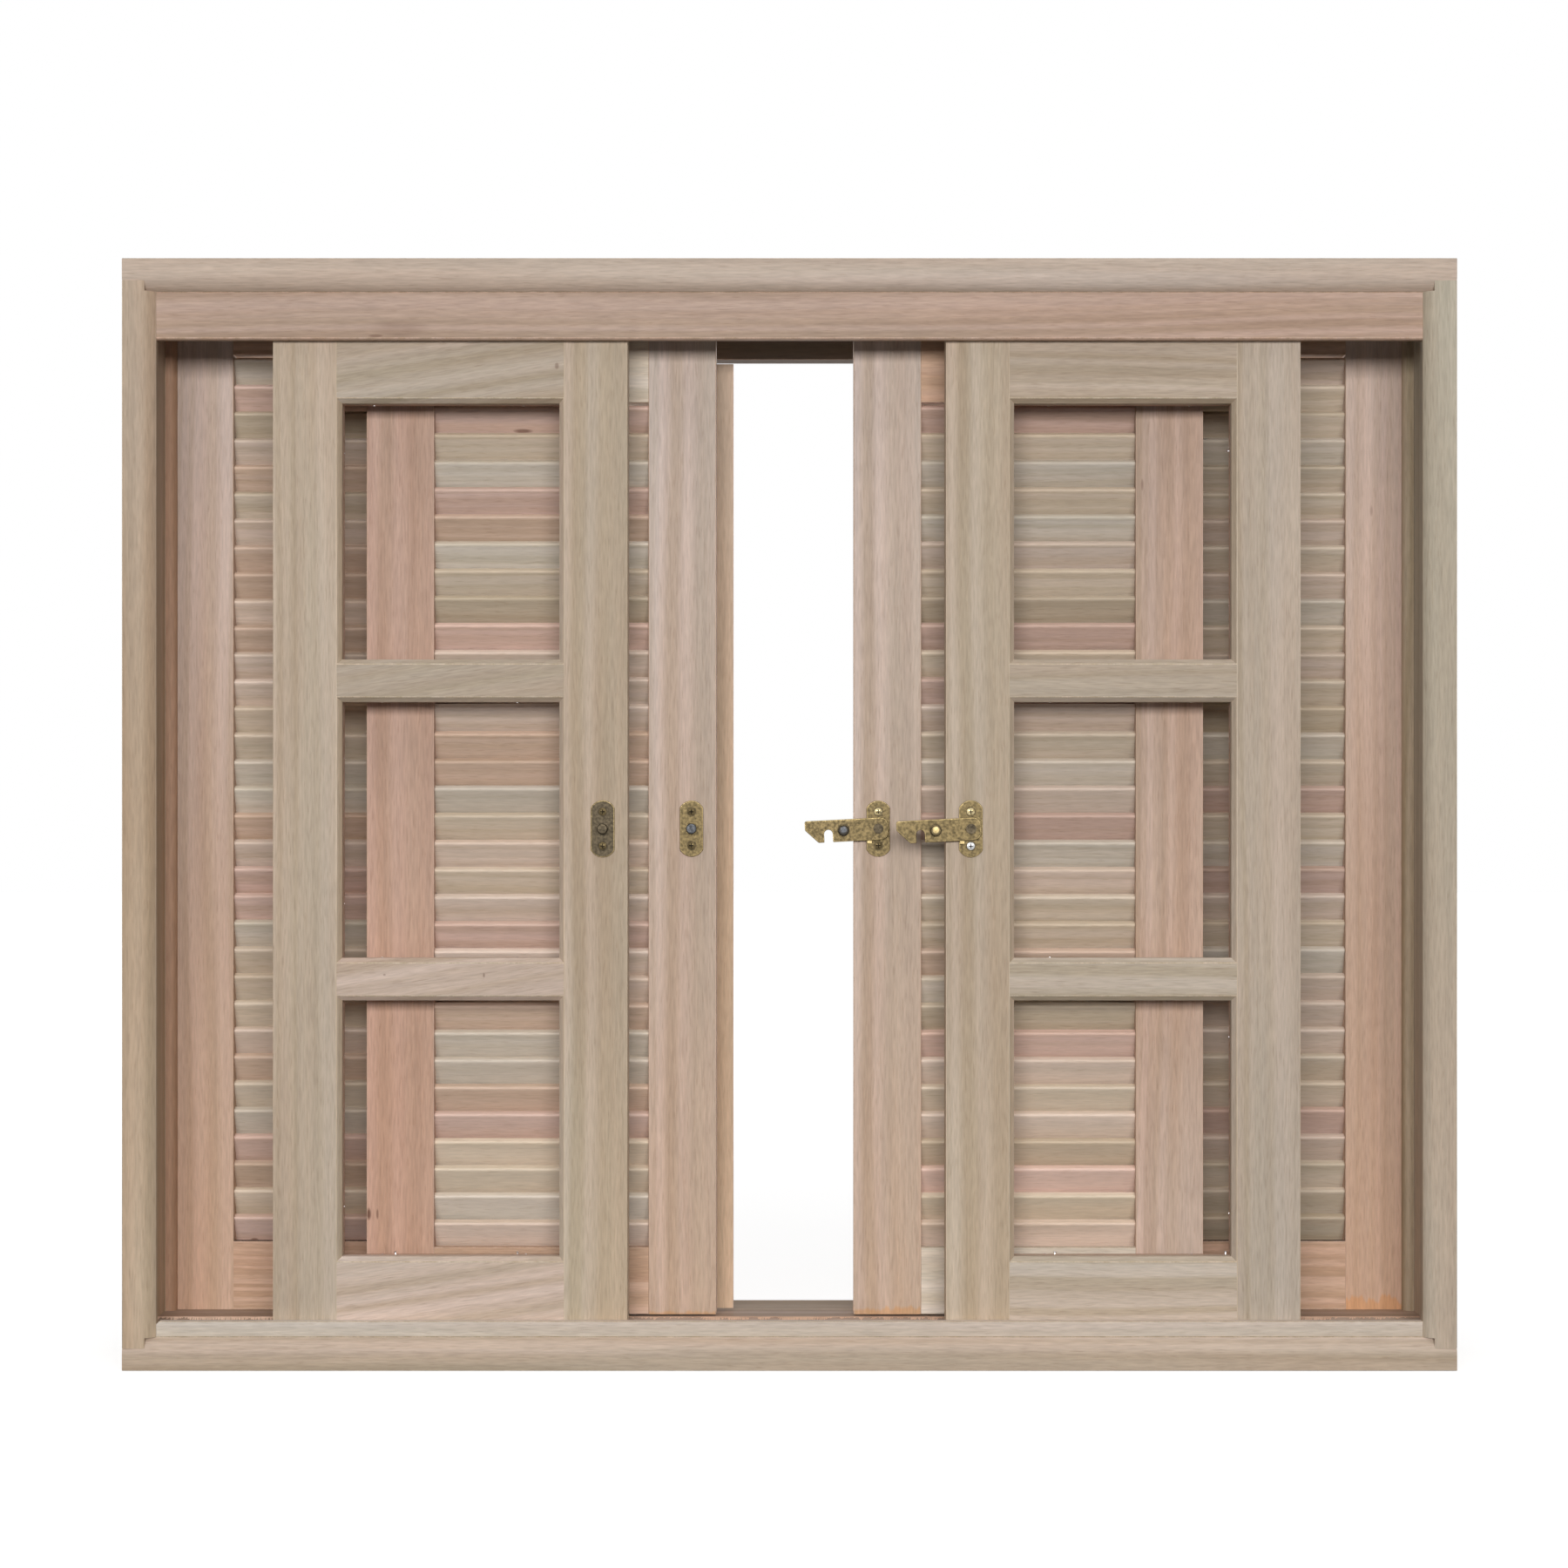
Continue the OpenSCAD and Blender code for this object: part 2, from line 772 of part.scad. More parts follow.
// The arm lies on its stop, drooping a little, with its slot past the meeting edge
module hook() {
    at_plate()
        translate([0, -plate_t - arm_lift - turn_gap, 0])
            rotate([0, -arm_droop, 0])
                rotate([90, 0, 0]) {
                    linear_extrude(arm_t) arm_outline();
                    translate([-knob_x, 0, arm_t / 2])
                        turned_stud(knob_neck_r, knob_neck_h + arm_t / 2, stud_head_r, knob_h - knob_neck_h);
                }
}

// Shutters
module shutter_stile() {
    difference() {
        louvred_stile(shutter_bottom, leaf_top, shutter_louvre_top, shutter_slats);
        guide_groove(shutter_bottom);
    }
}

module shutter_meeting_stile() {
    difference() {
        shutter_stile();
        screw_holes();
    }
}

module shutter_outer_stile() {
    difference() {
        outer_edge() shutter_stile();
        hanger_screw_places() screw_body(screw_fit);
    }
}

module shutter_top_rail() {
    louvred_top_rail(shutter_louvre_top, leaf_top);
}

module shutter_bottom_rail() {
    difference() {
        louvred_bottom_rail(shutter_bottom);
        guide_groove(shutter_bottom);
    }
}

module astragal() {
    section = [
        [-astragal_reach, astragal_relief], [0, astragal_relief], [0, 0], [astragal_lap, 0],
        [astragal_lap, astragal_t - astragal_bevel], [astragal_lap - astragal_bevel, astragal_t],
        [-astragal_reach + astragal_bevel, astragal_t], [-astragal_reach, astragal_t - astragal_bevel]
    ];
    bottom = shutter_bottom + slide_gap;
    translate([0, leaf_t, bottom])
        linear_extrude(leaf_top - astragal_top_inset - bottom) polygon(section);
}

module left_shutter() {
    left_leaf(left_shutter_open, shutter_front) children();
}

module right_shutter() {
    right_leaf(right_shutter_open, shutter_front) children();
}

module left_shutter_outer_stile() {
    color(wood_pink) left_shutter() shutter_outer_stile();
}

module left_shutter_meeting_stile() {
    color(wood_rose) left_shutter() shutter_meeting_stile();
}

module left_shutter_top_rail() {
    color(wood_tan) left_shutter() shutter_top_rail();
}

module left_shutter_bottom_rail() {
    color(wood_pink) left_shutter() shutter_bottom_rail();
}

module left_shutter_slats() {
    color(wood_grey) left_shutter() slats(shutter_slats);
}

module left_shutter_astragal() {
    color(wood_tan) left_shutter() astragal();
}

module left_shutter_hangers() {
    color(zinc) left_shutter() hangers();
}

module left_shutter_keeper() {
    color(brass) left_shutter() keeper();
}

module left_shutter_screws() {
    color(zinc) left_shutter() leaf_screws();
}

module left_shutter_inner_wheel() {
    color(nylon) left_shutter() inner_wheel();
}

module left_shutter_outer_wheel() {
    color(nylon) left_shutter() outer_wheel();
}

module right_shutter_outer_stile() {
    color(wood_pink) right_shutter() shutter_outer_stile();
}

module right_shutter_meeting_stile() {
    color(wood_pink) right_shutter() shutter_meeting_stile();
}

module right_shutter_top_rail() {
    color(wood_rose) right_shutter() shutter_top_rail();
}

module right_shutter_bottom_rail() {
    color(wood_rose) right_shutter() shutter_bottom_rail();
}

module right_shutter_slats() {
    color(wood_grey) right_shutter() slats(shutter_slats);
}

module right_shutter_hangers() {
    color(zinc) right_shutter() hangers();
}

module right_shutter_hook_plate() {
    color(brass) right_shutter() hook_plate();
}

module right_shutter_hook() {
    color(bronze) right_shutter() hook();
}

module right_shutter_screws() {
    color(zinc) right_shutter() leaf_screws();
}

module right_shutter_inner_wheel() {
    color(nylon) right_shutter() inner_wheel();
}

module right_shutter_outer_wheel() {
    color(nylon) right_shutter() outer_wheel();
}

// Sashes: chamfered stiles and scribed rails, rebated behind for the glazing
module sash_mortises() {
    mortise(sash_tenon_d, sash_bottom, sash_bottom_h, rail_shoulder);
    for (i = [1 : light_count - 1])
        mortise(sash_tenon_d, light_z(i) - sash_mid_h, sash_mid_h, mid_rail_shoulder);
    mortise(sash_tenon_d, leaf_top - sash_top_h, sash_top_h, rail_shoulder);
}

module sash_stile() {
    glass_line = leaf_t - rebate_d;
    plan = [
        [0, 0], [stile_w - light_chamfer, 0], [stile_w, light_chamfer], [stile_w, glass_line],
        [stile_w - rebate_w, glass_line], [stile_w - rebate_w, leaf_t], [0, leaf_t]
    ];
    difference() {
        translate([0, 0, sash_bottom]) linear_extrude(leaf_top - sash_bottom) polygon(plan);
        sash_mortises();
        guide_groove(sash_bottom);
    }
}

module sash_meeting_stile() {
    difference() {
        sash_stile();
        screw_holes();
    }
}

module sash_outer_stile() {
    difference() {
        outer_edge() sash_stile();
        hanger_screw_places() screw_body(screw_fit);
    }
}

// Seen from above, a rail's ends reach over the stiles' chamfers and fill their rebates
function sash_rail_plan() = [
    [-light_chamfer, 0], [leaf_span + light_chamfer, 0], [leaf_span, light_chamfer],
    [leaf_span, leaf_t - rebate_d], [leaf_span + rebate_w, leaf_t - rebate_d],
    [leaf_span + rebate_w, leaf_t], [-rebate_w, leaf_t], [-rebate_w, leaf_t - rebate_d],
    [0, leaf_t - rebate_d], [0, light_chamfer]
];

function sash_rail_section(h, light_below, light_above) = concat(
    light_below ? [[0, light_chamfer], [light_chamfer, 0], [leaf_t - rebate_d, 0],
        [leaf_t - rebate_d, rebate_w], [leaf_t, rebate_w]] : [[0, 0], [leaf_t, 0]],
    light_above ? [[leaf_t, h - rebate_w], [leaf_t - rebate_d, h - rebate_w], [leaf_t - rebate_d, h],
        [light_chamfer, h], [0, h - light_chamfer]] : [[leaf_t, h], [0, h]]
);

module sash_rail(z, h, light_below, light_above, shoulder) {
    intersection() {
        translate([stile_w, 0, z]) linear_extrude(h) polygon(sash_rail_plan());
        translate([0, 0, z]) along_x(0, leaf_w) polygon(sash_rail_section(h, light_below, light_above));
    }
    tenons(sash_tenon_d, z, h, shoulder);
}

module sash_rails() {
    difference() {
        sash_rail(sash_bottom, sash_bottom_h, false, true, rail_shoulder);
        guide_groove(sash_bottom);
    }
    for (i = [1 : light_count - 1])
        sash_rail(light_z(i) - sash_mid_h, sash_mid_h, true, true, mid_rail_shoulder);
    sash_rail(leaf_top - sash_top_h, sash_top_h, true, false, rail_shoulder);
}

// A glazing bead's section, from the rebate's wall towards the light
function glazing_bead_section() = [
    [0, 0], [glazing_bead_w, 0], [glazing_bead_w, glazing_bead_d - glazing_bead_bevel],
    [glazing_bead_w - glazing_bead_bevel, glazing_bead_d], [0, glazing_bead_d]
];

module level_bead(l) {
    rotate([0, 90, 0]) rotate([0, 0, 180]) mirror([0, 1, 0]) linear_extrude(l)
        polygon(glazing_bead_section());
}

module upright_bead(l) {
    linear_extrude(l) polygon(glazing_bead_section());
}

// Four beads line the rebate of each light
module glazing_beads() {
    l = leaf_span + 2 * rebate_w;
    h = light_h + 2 * rebate_w;
    upright_z = glazing_bead_w + joint_fit;
    for (i = [0 : light_count - 1])
        translate([stile_w - rebate_w, leaf_t - glazing_bead_d, light_z(i) - rebate_w]) {
            level_bead(l);
            translate([0, 0, h]) mirror([0, 0, 1]) level_bead(l);
            translate([0, 0, upright_z]) upright_bead(h - 2 * upright_z);
            translate([l, 0, upright_z]) mirror([1, 0, 0]) upright_bead(h - 2 * upright_z);
        }
}

module left_sash() {
    left_leaf(left_sash_open, sash_front) children();
}

module right_sash() {
    right_leaf(right_sash_open, sash_front) children();
}

module left_sash_outer_stile() {
    color(wood_straw) left_sash() sash_outer_stile();
}

module left_sash_meeting_stile() {
    color(wood_straw) left_sash() sash_meeting_stile();
}

module left_sash_rails() {
    color(wood_pink) left_sash() sash_rails();
}

module left_sash_glazing_beads() {
    color(wood_rose) left_sash() glazing_beads();
}

module left_sash_hangers() {
    color(zinc) left_sash() hangers();
}

module left_sash_keeper() {
    color(bronze) left_sash() keeper();
}

module left_sash_screws() {
    color(zinc) left_sash() leaf_screws();
}

module left_sash_inner_wheel() {
    color(nylon) left_sash() inner_wheel();
}

module left_sash_outer_wheel() {
    color(nylon) left_sash() outer_wheel();
}

module right_sash_outer_stile() {
    color(wood_straw) right_sash() sash_outer_stile();
}

module right_sash_meeting_stile() {
    color(wood_tan) right_sash() sash_meeting_stile();
}

module right_sash_rails() {
    color(wood_straw) right_sash() sash_rails();
}

module right_sash_glazing_beads() {
    color(wood_rose) right_sash() glazing_beads();
}

module right_sash_hangers() {
    color(zinc) right_sash() hangers();
}

module right_sash_hook_plate() {
    color(bronze) right_sash() hook_plate();
}

module right_sash_hook() {
    color(bronze) right_sash() hook();
}

module right_sash_screws() {
    color(zinc) right_sash() leaf_screws();
}

module right_sash_inner_wheel() {
    color(nylon) right_sash() inner_wheel();
}

module right_sash_outer_wheel() {
    color(nylon) right_sash() outer_wheel();
}

head();
sill();
left_jamb();
right_jamb();
valance();
rear_fascia();
front_bead();
track_board();
stop_beads();
sash_track();
shutter_track();
sash_guides();
shutter_guides();
left_fixed_stiles();
left_fixed_rails();
left_fixed_slats();
right_fixed_stiles();
right_fixed_rails();
right_fixed_slats();
left_shutter_outer_stile();
left_shutter_meeting_stile();
left_shutter_top_rail();
left_shutter_bottom_rail();
left_shutter_slats();
left_shutter_astragal();
left_shutter_hangers();
left_shutter_keeper();
left_shutter_screws();
left_shutter_inner_wheel();
left_shutter_outer_wheel();
right_shutter_outer_stile();
right_shutter_meeting_stile();
right_shutter_top_rail();
right_shutter_bottom_rail();
right_shutter_slats();
right_shutter_hangers();
right_shutter_hook_plate();
right_shutter_hook();
right_shutter_screws();
right_shutter_inner_wheel();
right_shutter_outer_wheel();
left_sash_outer_stile();
left_sash_meeting_stile();
left_sash_rails();
left_sash_glazing_beads();
left_sash_hangers();
left_sash_keeper();
left_sash_screws();
left_sash_inner_wheel();
left_sash_outer_wheel();
right_sash_outer_stile();
right_sash_meeting_stile();
right_sash_rails();
right_sash_glazing_beads();
right_sash_hangers();
right_sash_hook_plate();
right_sash_hook();
right_sash_screws();
right_sash_inner_wheel();
right_sash_outer_wheel();
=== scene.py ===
# %% [markdown]
# # A louvred wooden window, dressed in bare planed wood
# The window's solids come from its construction model, with every stile, slat, wheel and screw in
# place. They are exact, and they look it: every edge is sharp and every board has one flat colour.
# This lesson keeps the solids and gives them what a tree and a joiner's hands leave behind: grain,
# mixed tones, softened edges, half-driven brads and a torn edge.

# %% Load the solids
import math
import random

import bmesh
import bpy
from mathutils import Matrix, Vector


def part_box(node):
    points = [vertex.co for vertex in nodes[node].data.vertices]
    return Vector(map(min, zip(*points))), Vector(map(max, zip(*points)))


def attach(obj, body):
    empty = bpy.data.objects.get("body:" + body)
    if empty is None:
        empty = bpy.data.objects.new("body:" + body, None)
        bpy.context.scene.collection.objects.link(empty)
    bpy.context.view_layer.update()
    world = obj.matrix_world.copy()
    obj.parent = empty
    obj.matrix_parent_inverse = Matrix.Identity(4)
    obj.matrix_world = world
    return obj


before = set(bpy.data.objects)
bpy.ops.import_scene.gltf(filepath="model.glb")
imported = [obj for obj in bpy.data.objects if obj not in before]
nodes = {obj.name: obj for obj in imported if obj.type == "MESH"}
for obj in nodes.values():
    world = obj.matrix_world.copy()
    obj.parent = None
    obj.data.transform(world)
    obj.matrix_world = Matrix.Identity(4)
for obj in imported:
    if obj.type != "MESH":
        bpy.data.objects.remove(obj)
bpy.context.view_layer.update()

# %% [markdown]
# ## The camera
# A long lens far away and a short lens close by can frame a window alike, but depth looks
# different: from close by, the rear slats shrink more against the frame. Here the slats say that
# the lens stood about 2.5 m away. The camera looks straight ahead, so that upright stiles stay
# parallel, and a small shift of the lens slides the picture into place without tilting anything.

# %% Place the camera
PICTURE_PX = 1800
SCALE_PX = 1277.5
DISTANCE = 2.467
FRONT_Y = -0.070
MIDDLE_Z = 0.500
MIDDLE_PX = (906.3, 935.0)

lens = bpy.data.cameras.new("camera")
lens.sensor_width = 36.0
lens.lens = SCALE_PX * DISTANCE / PICTURE_PX * lens.sensor_width
lens.shift_x = (PICTURE_PX / 2 - MIDDLE_PX[0]) / PICTURE_PX
lens.shift_y = (MIDDLE_PX[1] - PICTURE_PX / 2) / PICTURE_PX
camera = bpy.data.objects.new("camera", lens)
camera.location = (0, FRONT_Y - DISTANCE, MIDDLE_Z)
camera.rotation_euler = (math.pi / 2, 0, 0)
bpy.context.collection.objects.link(camera)
bpy.context.scene.camera = camera
print("lens", round(lens.lens, 1), "mm, shift", round(lens.shift_x, 4), round(lens.shift_y, 4))

# %% [markdown]
# ## Nodes in short calls
# A material in Blender is a net of nodes. Written out in full, every node takes five lines, and
# the idea drowns. Small helpers keep each step of a finish on one line: one adds a node and fills
# its inputs, one does arithmetic, and one mixes two colours. Colours are written as the eye reads
# them from a screen, so they are turned into linear light first.

# %% Helpers for nodes
def linear(red, green, blue):
    """A colour as read from a screen, 0 to 255, in linear light."""
    def one(value):
        share = value / 255
        return share / 12.92 if share <= 0.04045 else ((share + 0.055) / 1.055) ** 2.4
    return one(red), one(green), one(blue), 1.0


def plug(tree, node, inputs):
    """Fills a node's inputs, each with a number, a colour or another node's outlet."""
    for name, value in inputs.items():
        if isinstance(value, bpy.types.NodeSocket):
            tree.links.new(value, node.inputs[name])
        else:
            node.inputs[name].default_value = value


def add(tree, kind, inputs=None, **settings):
    """Adds a node and fills its inputs."""
    node = tree.nodes.new(kind)
    for name, value in settings.items():
        setattr(node, name, value)
    plug(tree, node, inputs or {})
    return node


def calc(tree, operation, *values):
    """Arithmetic on numbers and outlets."""
    return add(tree, "ShaderNodeMath", dict(enumerate(values)), operation=operation).outputs[0]


def plus(tree, first, second):
    """A sum."""
    return calc(tree, "ADD", first, second)


def minus(tree, first, second):
    """A difference."""
    return calc(tree, "SUBTRACT", first, second)


def times(tree, first, second):
    """A product."""
    return calc(tree, "MULTIPLY", first, second)


def mix(tree, share, first, second, blend_type="MIX"):
    """Two colours in one, by a share."""
    inputs = {0: share, 6: first, 7: second}
    return add(tree, "ShaderNodeMix", inputs, data_type="RGBA", blend_type=blend_type).outputs[2]


print("a mid grey of 128 is", round(linear(128, 128, 128)[0], 3), "in linear light")

# %% [markdown]
# More helpers turn up in every finish. One carries a value from one stretch into another, which is
# how a patch gets a soft rim. One makes noise that can be drawn out along an axis, as the fibres
# of wood are. One tints a colour in some places, which is how stains and pores are laid on.

# %% Helpers for finishes
def new_finish(name):
    """An empty material: (material, its nodes, the place on the object, its skin)."""
    made = bpy.data.materials.new(name)
    made.use_nodes = True
    tree = made.node_tree
    return made, tree, add(tree, "ShaderNodeTexCoord").outputs["Object"], tree.nodes["Principled BSDF"]


def measure(tree, operation, *places):
    """A length, or the distance between two places."""
    return add(tree, "ShaderNodeVectorMath", dict(enumerate(places)), operation=operation).outputs["Value"]


def ease(tree, value, low, high, start, end):
    """Turns the stretch from low to high into that from start to end, and holds at both ends."""
    inputs = {"Value": value, "From Min": low, "From Max": high, "To Min": start, "To Max": end}
    return add(tree, "ShaderNodeMapRange", inputs).outputs[0]


def noise(tree, place, stretch, detail=2.0):
    """Soft noise that is finer along an axis the more it is stretched, in cycles a metre."""
    scaled = add(tree, "ShaderNodeVectorMath", {0: place, 1: stretch}, operation="MULTIPLY").outputs[0]
    inputs = {"Vector": scaled, "Scale": 1.0, "Detail": detail}
    return add(tree, "ShaderNodeTexNoise", inputs).outputs[0]


def tinted(tree, share, colour, tint):
    """A colour, multiplied by a tint as far as the share says."""
    return mix(tree, share, colour, mix(tree, 1.0, colour, tint, "MULTIPLY"))


print(len(bpy.data.materials), "materials before the first finish")

# %% [markdown]
# ## Studio
# The window stands in front of white. White paper behind an object is easily overdone: more light
# on it also burns out the wood. So the world is white only where the camera, a reflection or a
# view through something looks at it, and it lights the wood far more gently.

# %% White behind the window
FILL = 0.006


def seen_directly(tree):
    """1 for rays from the camera, from gloss or through glass, and 0 for rays that carry light."""
    path = add(tree, "ShaderNodeLightPath").outputs
    gloss = calc(tree, "MAXIMUM", path["Is Glossy Ray"], path["Is Transmission Ray"])
    return calc(tree, "MAXIMUM", path["Is Camera Ray"], gloss)


world = bpy.data.worlds.new("studio")
world.use_nodes = True
air = world.node_tree
strength = ease(air, seen_directly(air), 0.0, 1.0, FILL, 1.0)
plug(air, air.nodes["Background"], {"Color": (1, 1, 1, 1), "Strength": strength})
bpy.context.scene.world = world
bpy.context.scene.view_settings.view_transform = "Standard"
print("white to the eye, and", FILL, "of that as light on the wood")

# %% [markdown]
# The floor is a sheet of pale paper, treated the same way: part of its white is a glow that only
# the eye sees. Near the window the glow is weaker and the lamps make up the rest, so the window's
# shadow stays on it. It throws little light back, because the undersides of the rails are dark.

# %% Floor of paper
PAPER = 0.42
BOUNCE = 0.03
PAPER_ROUGHNESS = 0.9
NEAR, FAR = 0.8, 3.5
NEAR_GLOW, FAR_GLOW = 0.74, 0.98
FLOOR_HALF = 15
FLOOR_DROP = 0.0004

paper, sheet, spot, plain = new_finish("floor_paper")
thrown_back = ease(sheet, seen_directly(sheet), 0.0, 1.0, BOUNCE, PAPER)
plug(sheet, plain, {"Base Color": thrown_back, "Roughness": PAPER_ROUGHNESS})
near_or_far = ease(sheet, measure(sheet, "LENGTH", spot), NEAR, FAR, NEAR_GLOW, FAR_GLOW)
glow = times(sheet, seen_directly(sheet), near_or_far)
bright = add(sheet, "ShaderNodeEmission", {"Color": (1, 1, 1, 1), "Strength": glow})
both = add(sheet, "ShaderNodeAddShader", {0: plain.outputs[0], 1: bright.outputs[0]})
plug(sheet, sheet.nodes["Material Output"], {"Surface": both.outputs[0]})

corners = [(x * FLOOR_HALF, y * FLOOR_HALF, 0) for x, y in ((-1, -1), (1, -1), (1, 1), (-1, 1))]
floor_mesh = bpy.data.meshes.new("floor")
floor_mesh.from_pydata(corners, [], [(0, 1, 2, 3)])
floor_mesh.materials.append(paper)
floor = bpy.data.objects.new("floor", floor_mesh)
floor.location.z = -FLOOR_DROP
bpy.context.collection.objects.link(floor)
print("floor", 2 * FLOOR_HALF, "m wide")

# %% [markdown]
# Light comes from softboxes, which are lamps behind a sheet of cloth. A bare lamp would draw a
# hard shadow of every slat. The key is wide and low in front: shadows beside a stile melt away,
# and those under a rail stay short. Two lamps above reach the tops, and two behind keep the back
# from going black when the window is turned.

# %% Softboxes
def softbox(name, place, aim, size, power):
    """A lamp behind a sheet of diffusion, aimed at a point."""
    light = bpy.data.lights.new(name, "AREA")
    light.shape = "RECTANGLE"
    light.size, light.size_y = size
    light.energy = power
    lamp = bpy.data.objects.new(name, light)
    lamp.location = place
    lamp.rotation_euler = (Vector(aim) - Vector(place)).to_track_quat("-Z", "Y").to_euler()
    bpy.context.collection.objects.link(lamp)


softbox("key", place=(0.0, -7.0, 1.95), aim=(0, -5.38, 0.77), size=(6.8, 2.0), power=522)
softbox("top", place=(0.0, -1.6, 4.2), aim=(0, 0, 0.3), size=(3.0, 1.5), power=26)
softbox("ridge", place=(0.0, -0.17, 4.2), aim=(0, -0.17, 1.0), size=(3.0, 0.5), power=28)
for side in (-1, 1):
    softbox("rear", place=(5.2 * side, 4.2, 0.65), aim=(0, 0, 0.5), size=(3.2, 1.1), power=240)
print(len(bpy.data.lights), "softboxes")

# %% [markdown]
# ## Bare wood
# Wood is a solid, not a wallpaper. Its rings are cylinders round the heart of the tree, and a saw
# cuts planes through them: that gives straight bands on one board and tongues on the next, and the
# end grain comes for free. So the pattern is computed in space, from the place on the board in
# metres. Image textures would be quicker, but they would stop at every edge. First comes a shelf
# of tones, because no two boards are alike.

# %% Tones of the boards
TONES = {
    "straw": (184, 168, 150), "wheat": (154, 135, 117), "flax": (176, 162, 146), "grey": (184, 170, 154),
    "pale": (192, 176, 163), "cream": (205, 194, 184), "oat": (216, 203, 189), "blush": (194, 174, 160),
    "shell": (189, 162, 144), "dusk": (179, 155, 140), "rose": (187, 158, 143), "salmon": (193, 160, 137),
    "coral": (195, 160, 141), "biscuit": (205, 175, 154), "umber": (179, 143, 118), "moss": (173, 157, 134),
    # The dark bark tone on the next line is painted shade, for the rear fascia deep in shadow.
    "bark": (118, 103, 89), "petal": (200, 183, 170), "linen": (189, 176, 161), "apricot": (195, 163, 141),
    "mauve": (196, 176, 165), "peach": (200, 175, 157), "mist": (196, 181, 172), "reed": (193, 177, 157),
    "dove": (180, 166, 151), "slate": (176, 167, 151), "bran": (187, 167, 144), "husk": (176, 153, 129),
    "chaff": (177, 158, 139), "sand": (196, 177, 162), "clay": (175, 158, 138), "amber": (198, 173, 148),
    "honey": (187, 161, 136), "fawn": (186, 164, 145), "dust": (164, 143, 128),
}
print(len(TONES), "tones of wood")

# %% [markdown]
# A tone can also change along a mesh. Several rails are one mesh, each from a board of its own,
# and a tall stile fades from red at its foot to pale at its top, which is painted light: warm light
# from below and cooler light above. Cutting the meshes up would do for the rails but not for the
# fade. A colour ramp does both, with hard or blended stops.

# %% One tone, or tones that change
def tone_of(tree, tone, where, fade):
    """A board's own tone, or tones that change from piece to piece, or fade, at given places."""
    if isinstance(tone, str):
        return linear(*TONES[tone])
    ramp = add(tree, "ShaderNodeValToRGB", {0: where})
    ramp.color_ramp.interpolation = "LINEAR" if fade else "CONSTANT"
    stops = ramp.color_ramp.elements
    stops[0].color = linear(*TONES[tone[0][1]])
    stops[1].position = 1.0
    stops[1].color = linear(*TONES[tone[-1][1]])
    for place, word in tone[1:]:
        stops.new(place).color = linear(*TONES[word])
    return ramp.outputs[0]


print("the palest tone is", max(TONES, key=lambda word: sum(TONES[word])))

# %% [markdown]
# Slats need one thing more. All slats of a panel are one mesh, and yet each was cut from another
# stick. The slats lean, so their heights overlap, but measured square to their faces they are
# layers, one pitch apart. Rounding that measure gives each slat a number, and the number picks its
# tone and shifts its grain. A material for each slat would do the same with 128 materials.

# %% Numbers for the slats
SLAT_LEAN = math.radians(27)
SLAT_PITCH = 0.025
LOWEST_SLAT_Z = 0.11321


def slat_number(tree, y, z, panel_y):
    """0 for the lowest slat, 1 for the next, and so on."""
    depth = times(tree, minus(tree, y, panel_y), math.cos(SLAT_LEAN))
    rise = times(tree, minus(tree, z, LOWEST_SLAT_Z), math.sin(SLAT_LEAN))
    layers = calc(tree, "DIVIDE", plus(tree, depth, rise), SLAT_PITCH * math.sin(SLAT_LEAN))
    return calc(tree, "ROUND", layers)


def slat_height(tree, y, z, panel_y, number):
    """How far up its own slat a place is, from the slat's middle line."""
    foot = plus(tree, times(tree, number, SLAT_PITCH), LOWEST_SLAT_Z)
    rise = times(tree, minus(tree, z, foot), math.cos(SLAT_LEAN))
    depth = times(tree, minus(tree, y, panel_y), math.sin(SLAT_LEAN))
    return minus(tree, rise, depth)


print("slats lie", round(SLAT_PITCH * math.sin(SLAT_LEAN) * 1000, 2), "mm apart, square to their faces")

# %% [markdown]
# Each board is a cut out of a log of its own, and a slat is one of many sticks from the same log.
# A cut that slopes lets the rings run out at an edge, as on the left sash's rails. The distance to
# a heart line, which wanders a little, gives the rings. A wave would make them all alike, so they
# come from noise along that distance: some years the tree grew fast, and some years slowly.

# %% Grain and rings
BOARD_SHIFT = 1.9
STICK_SHIFT = 0.713
STICK_STEP = 0.0137
WANDER = 0.05


def grain_axes(tree, x, z, run, slope, seed, number):
    """How far a place lies across the grain of its log and along it."""
    across, along = (x, z) if run == "up" else (z, x)
    if number is not None:
        along = plus(tree, along, times(tree, number, STICK_SHIFT))
        across = minus(tree, across, times(tree, number, SLAT_PITCH - STICK_STEP))
    if slope:
        across = minus(tree, across, times(tree, along, slope))
    return across, plus(tree, along, BOARD_SHIFT * seed)


def growth_rings(tree, grain, across, y, heart_across, heart_y, ring):
    """Rings round a heart line, a ring's width apart."""
    wander = noise(tree, grain, (5, 5, 0.9))
    sway = times(tree, minus(tree, wander, 0.5), WANDER)
    side = plus(tree, minus(tree, across, heart_across), sway)
    deep = minus(tree, y, heart_y)
    squares = plus(tree, calc(tree, "POWER", side, 2.0), calc(tree, "POWER", deep, 2.0))
    years = calc(tree, "DIVIDE", calc(tree, "SQRT", squares), ring)
    inputs = {"W": years, "Scale": 1.0, "Detail": 1.5}
    return add(tree, "ShaderNodeTexNoise", inputs, noise_dimensions="1D").outputs[0]


print("a heart line wanders by up to", WANDER * 500, "mm to either side")
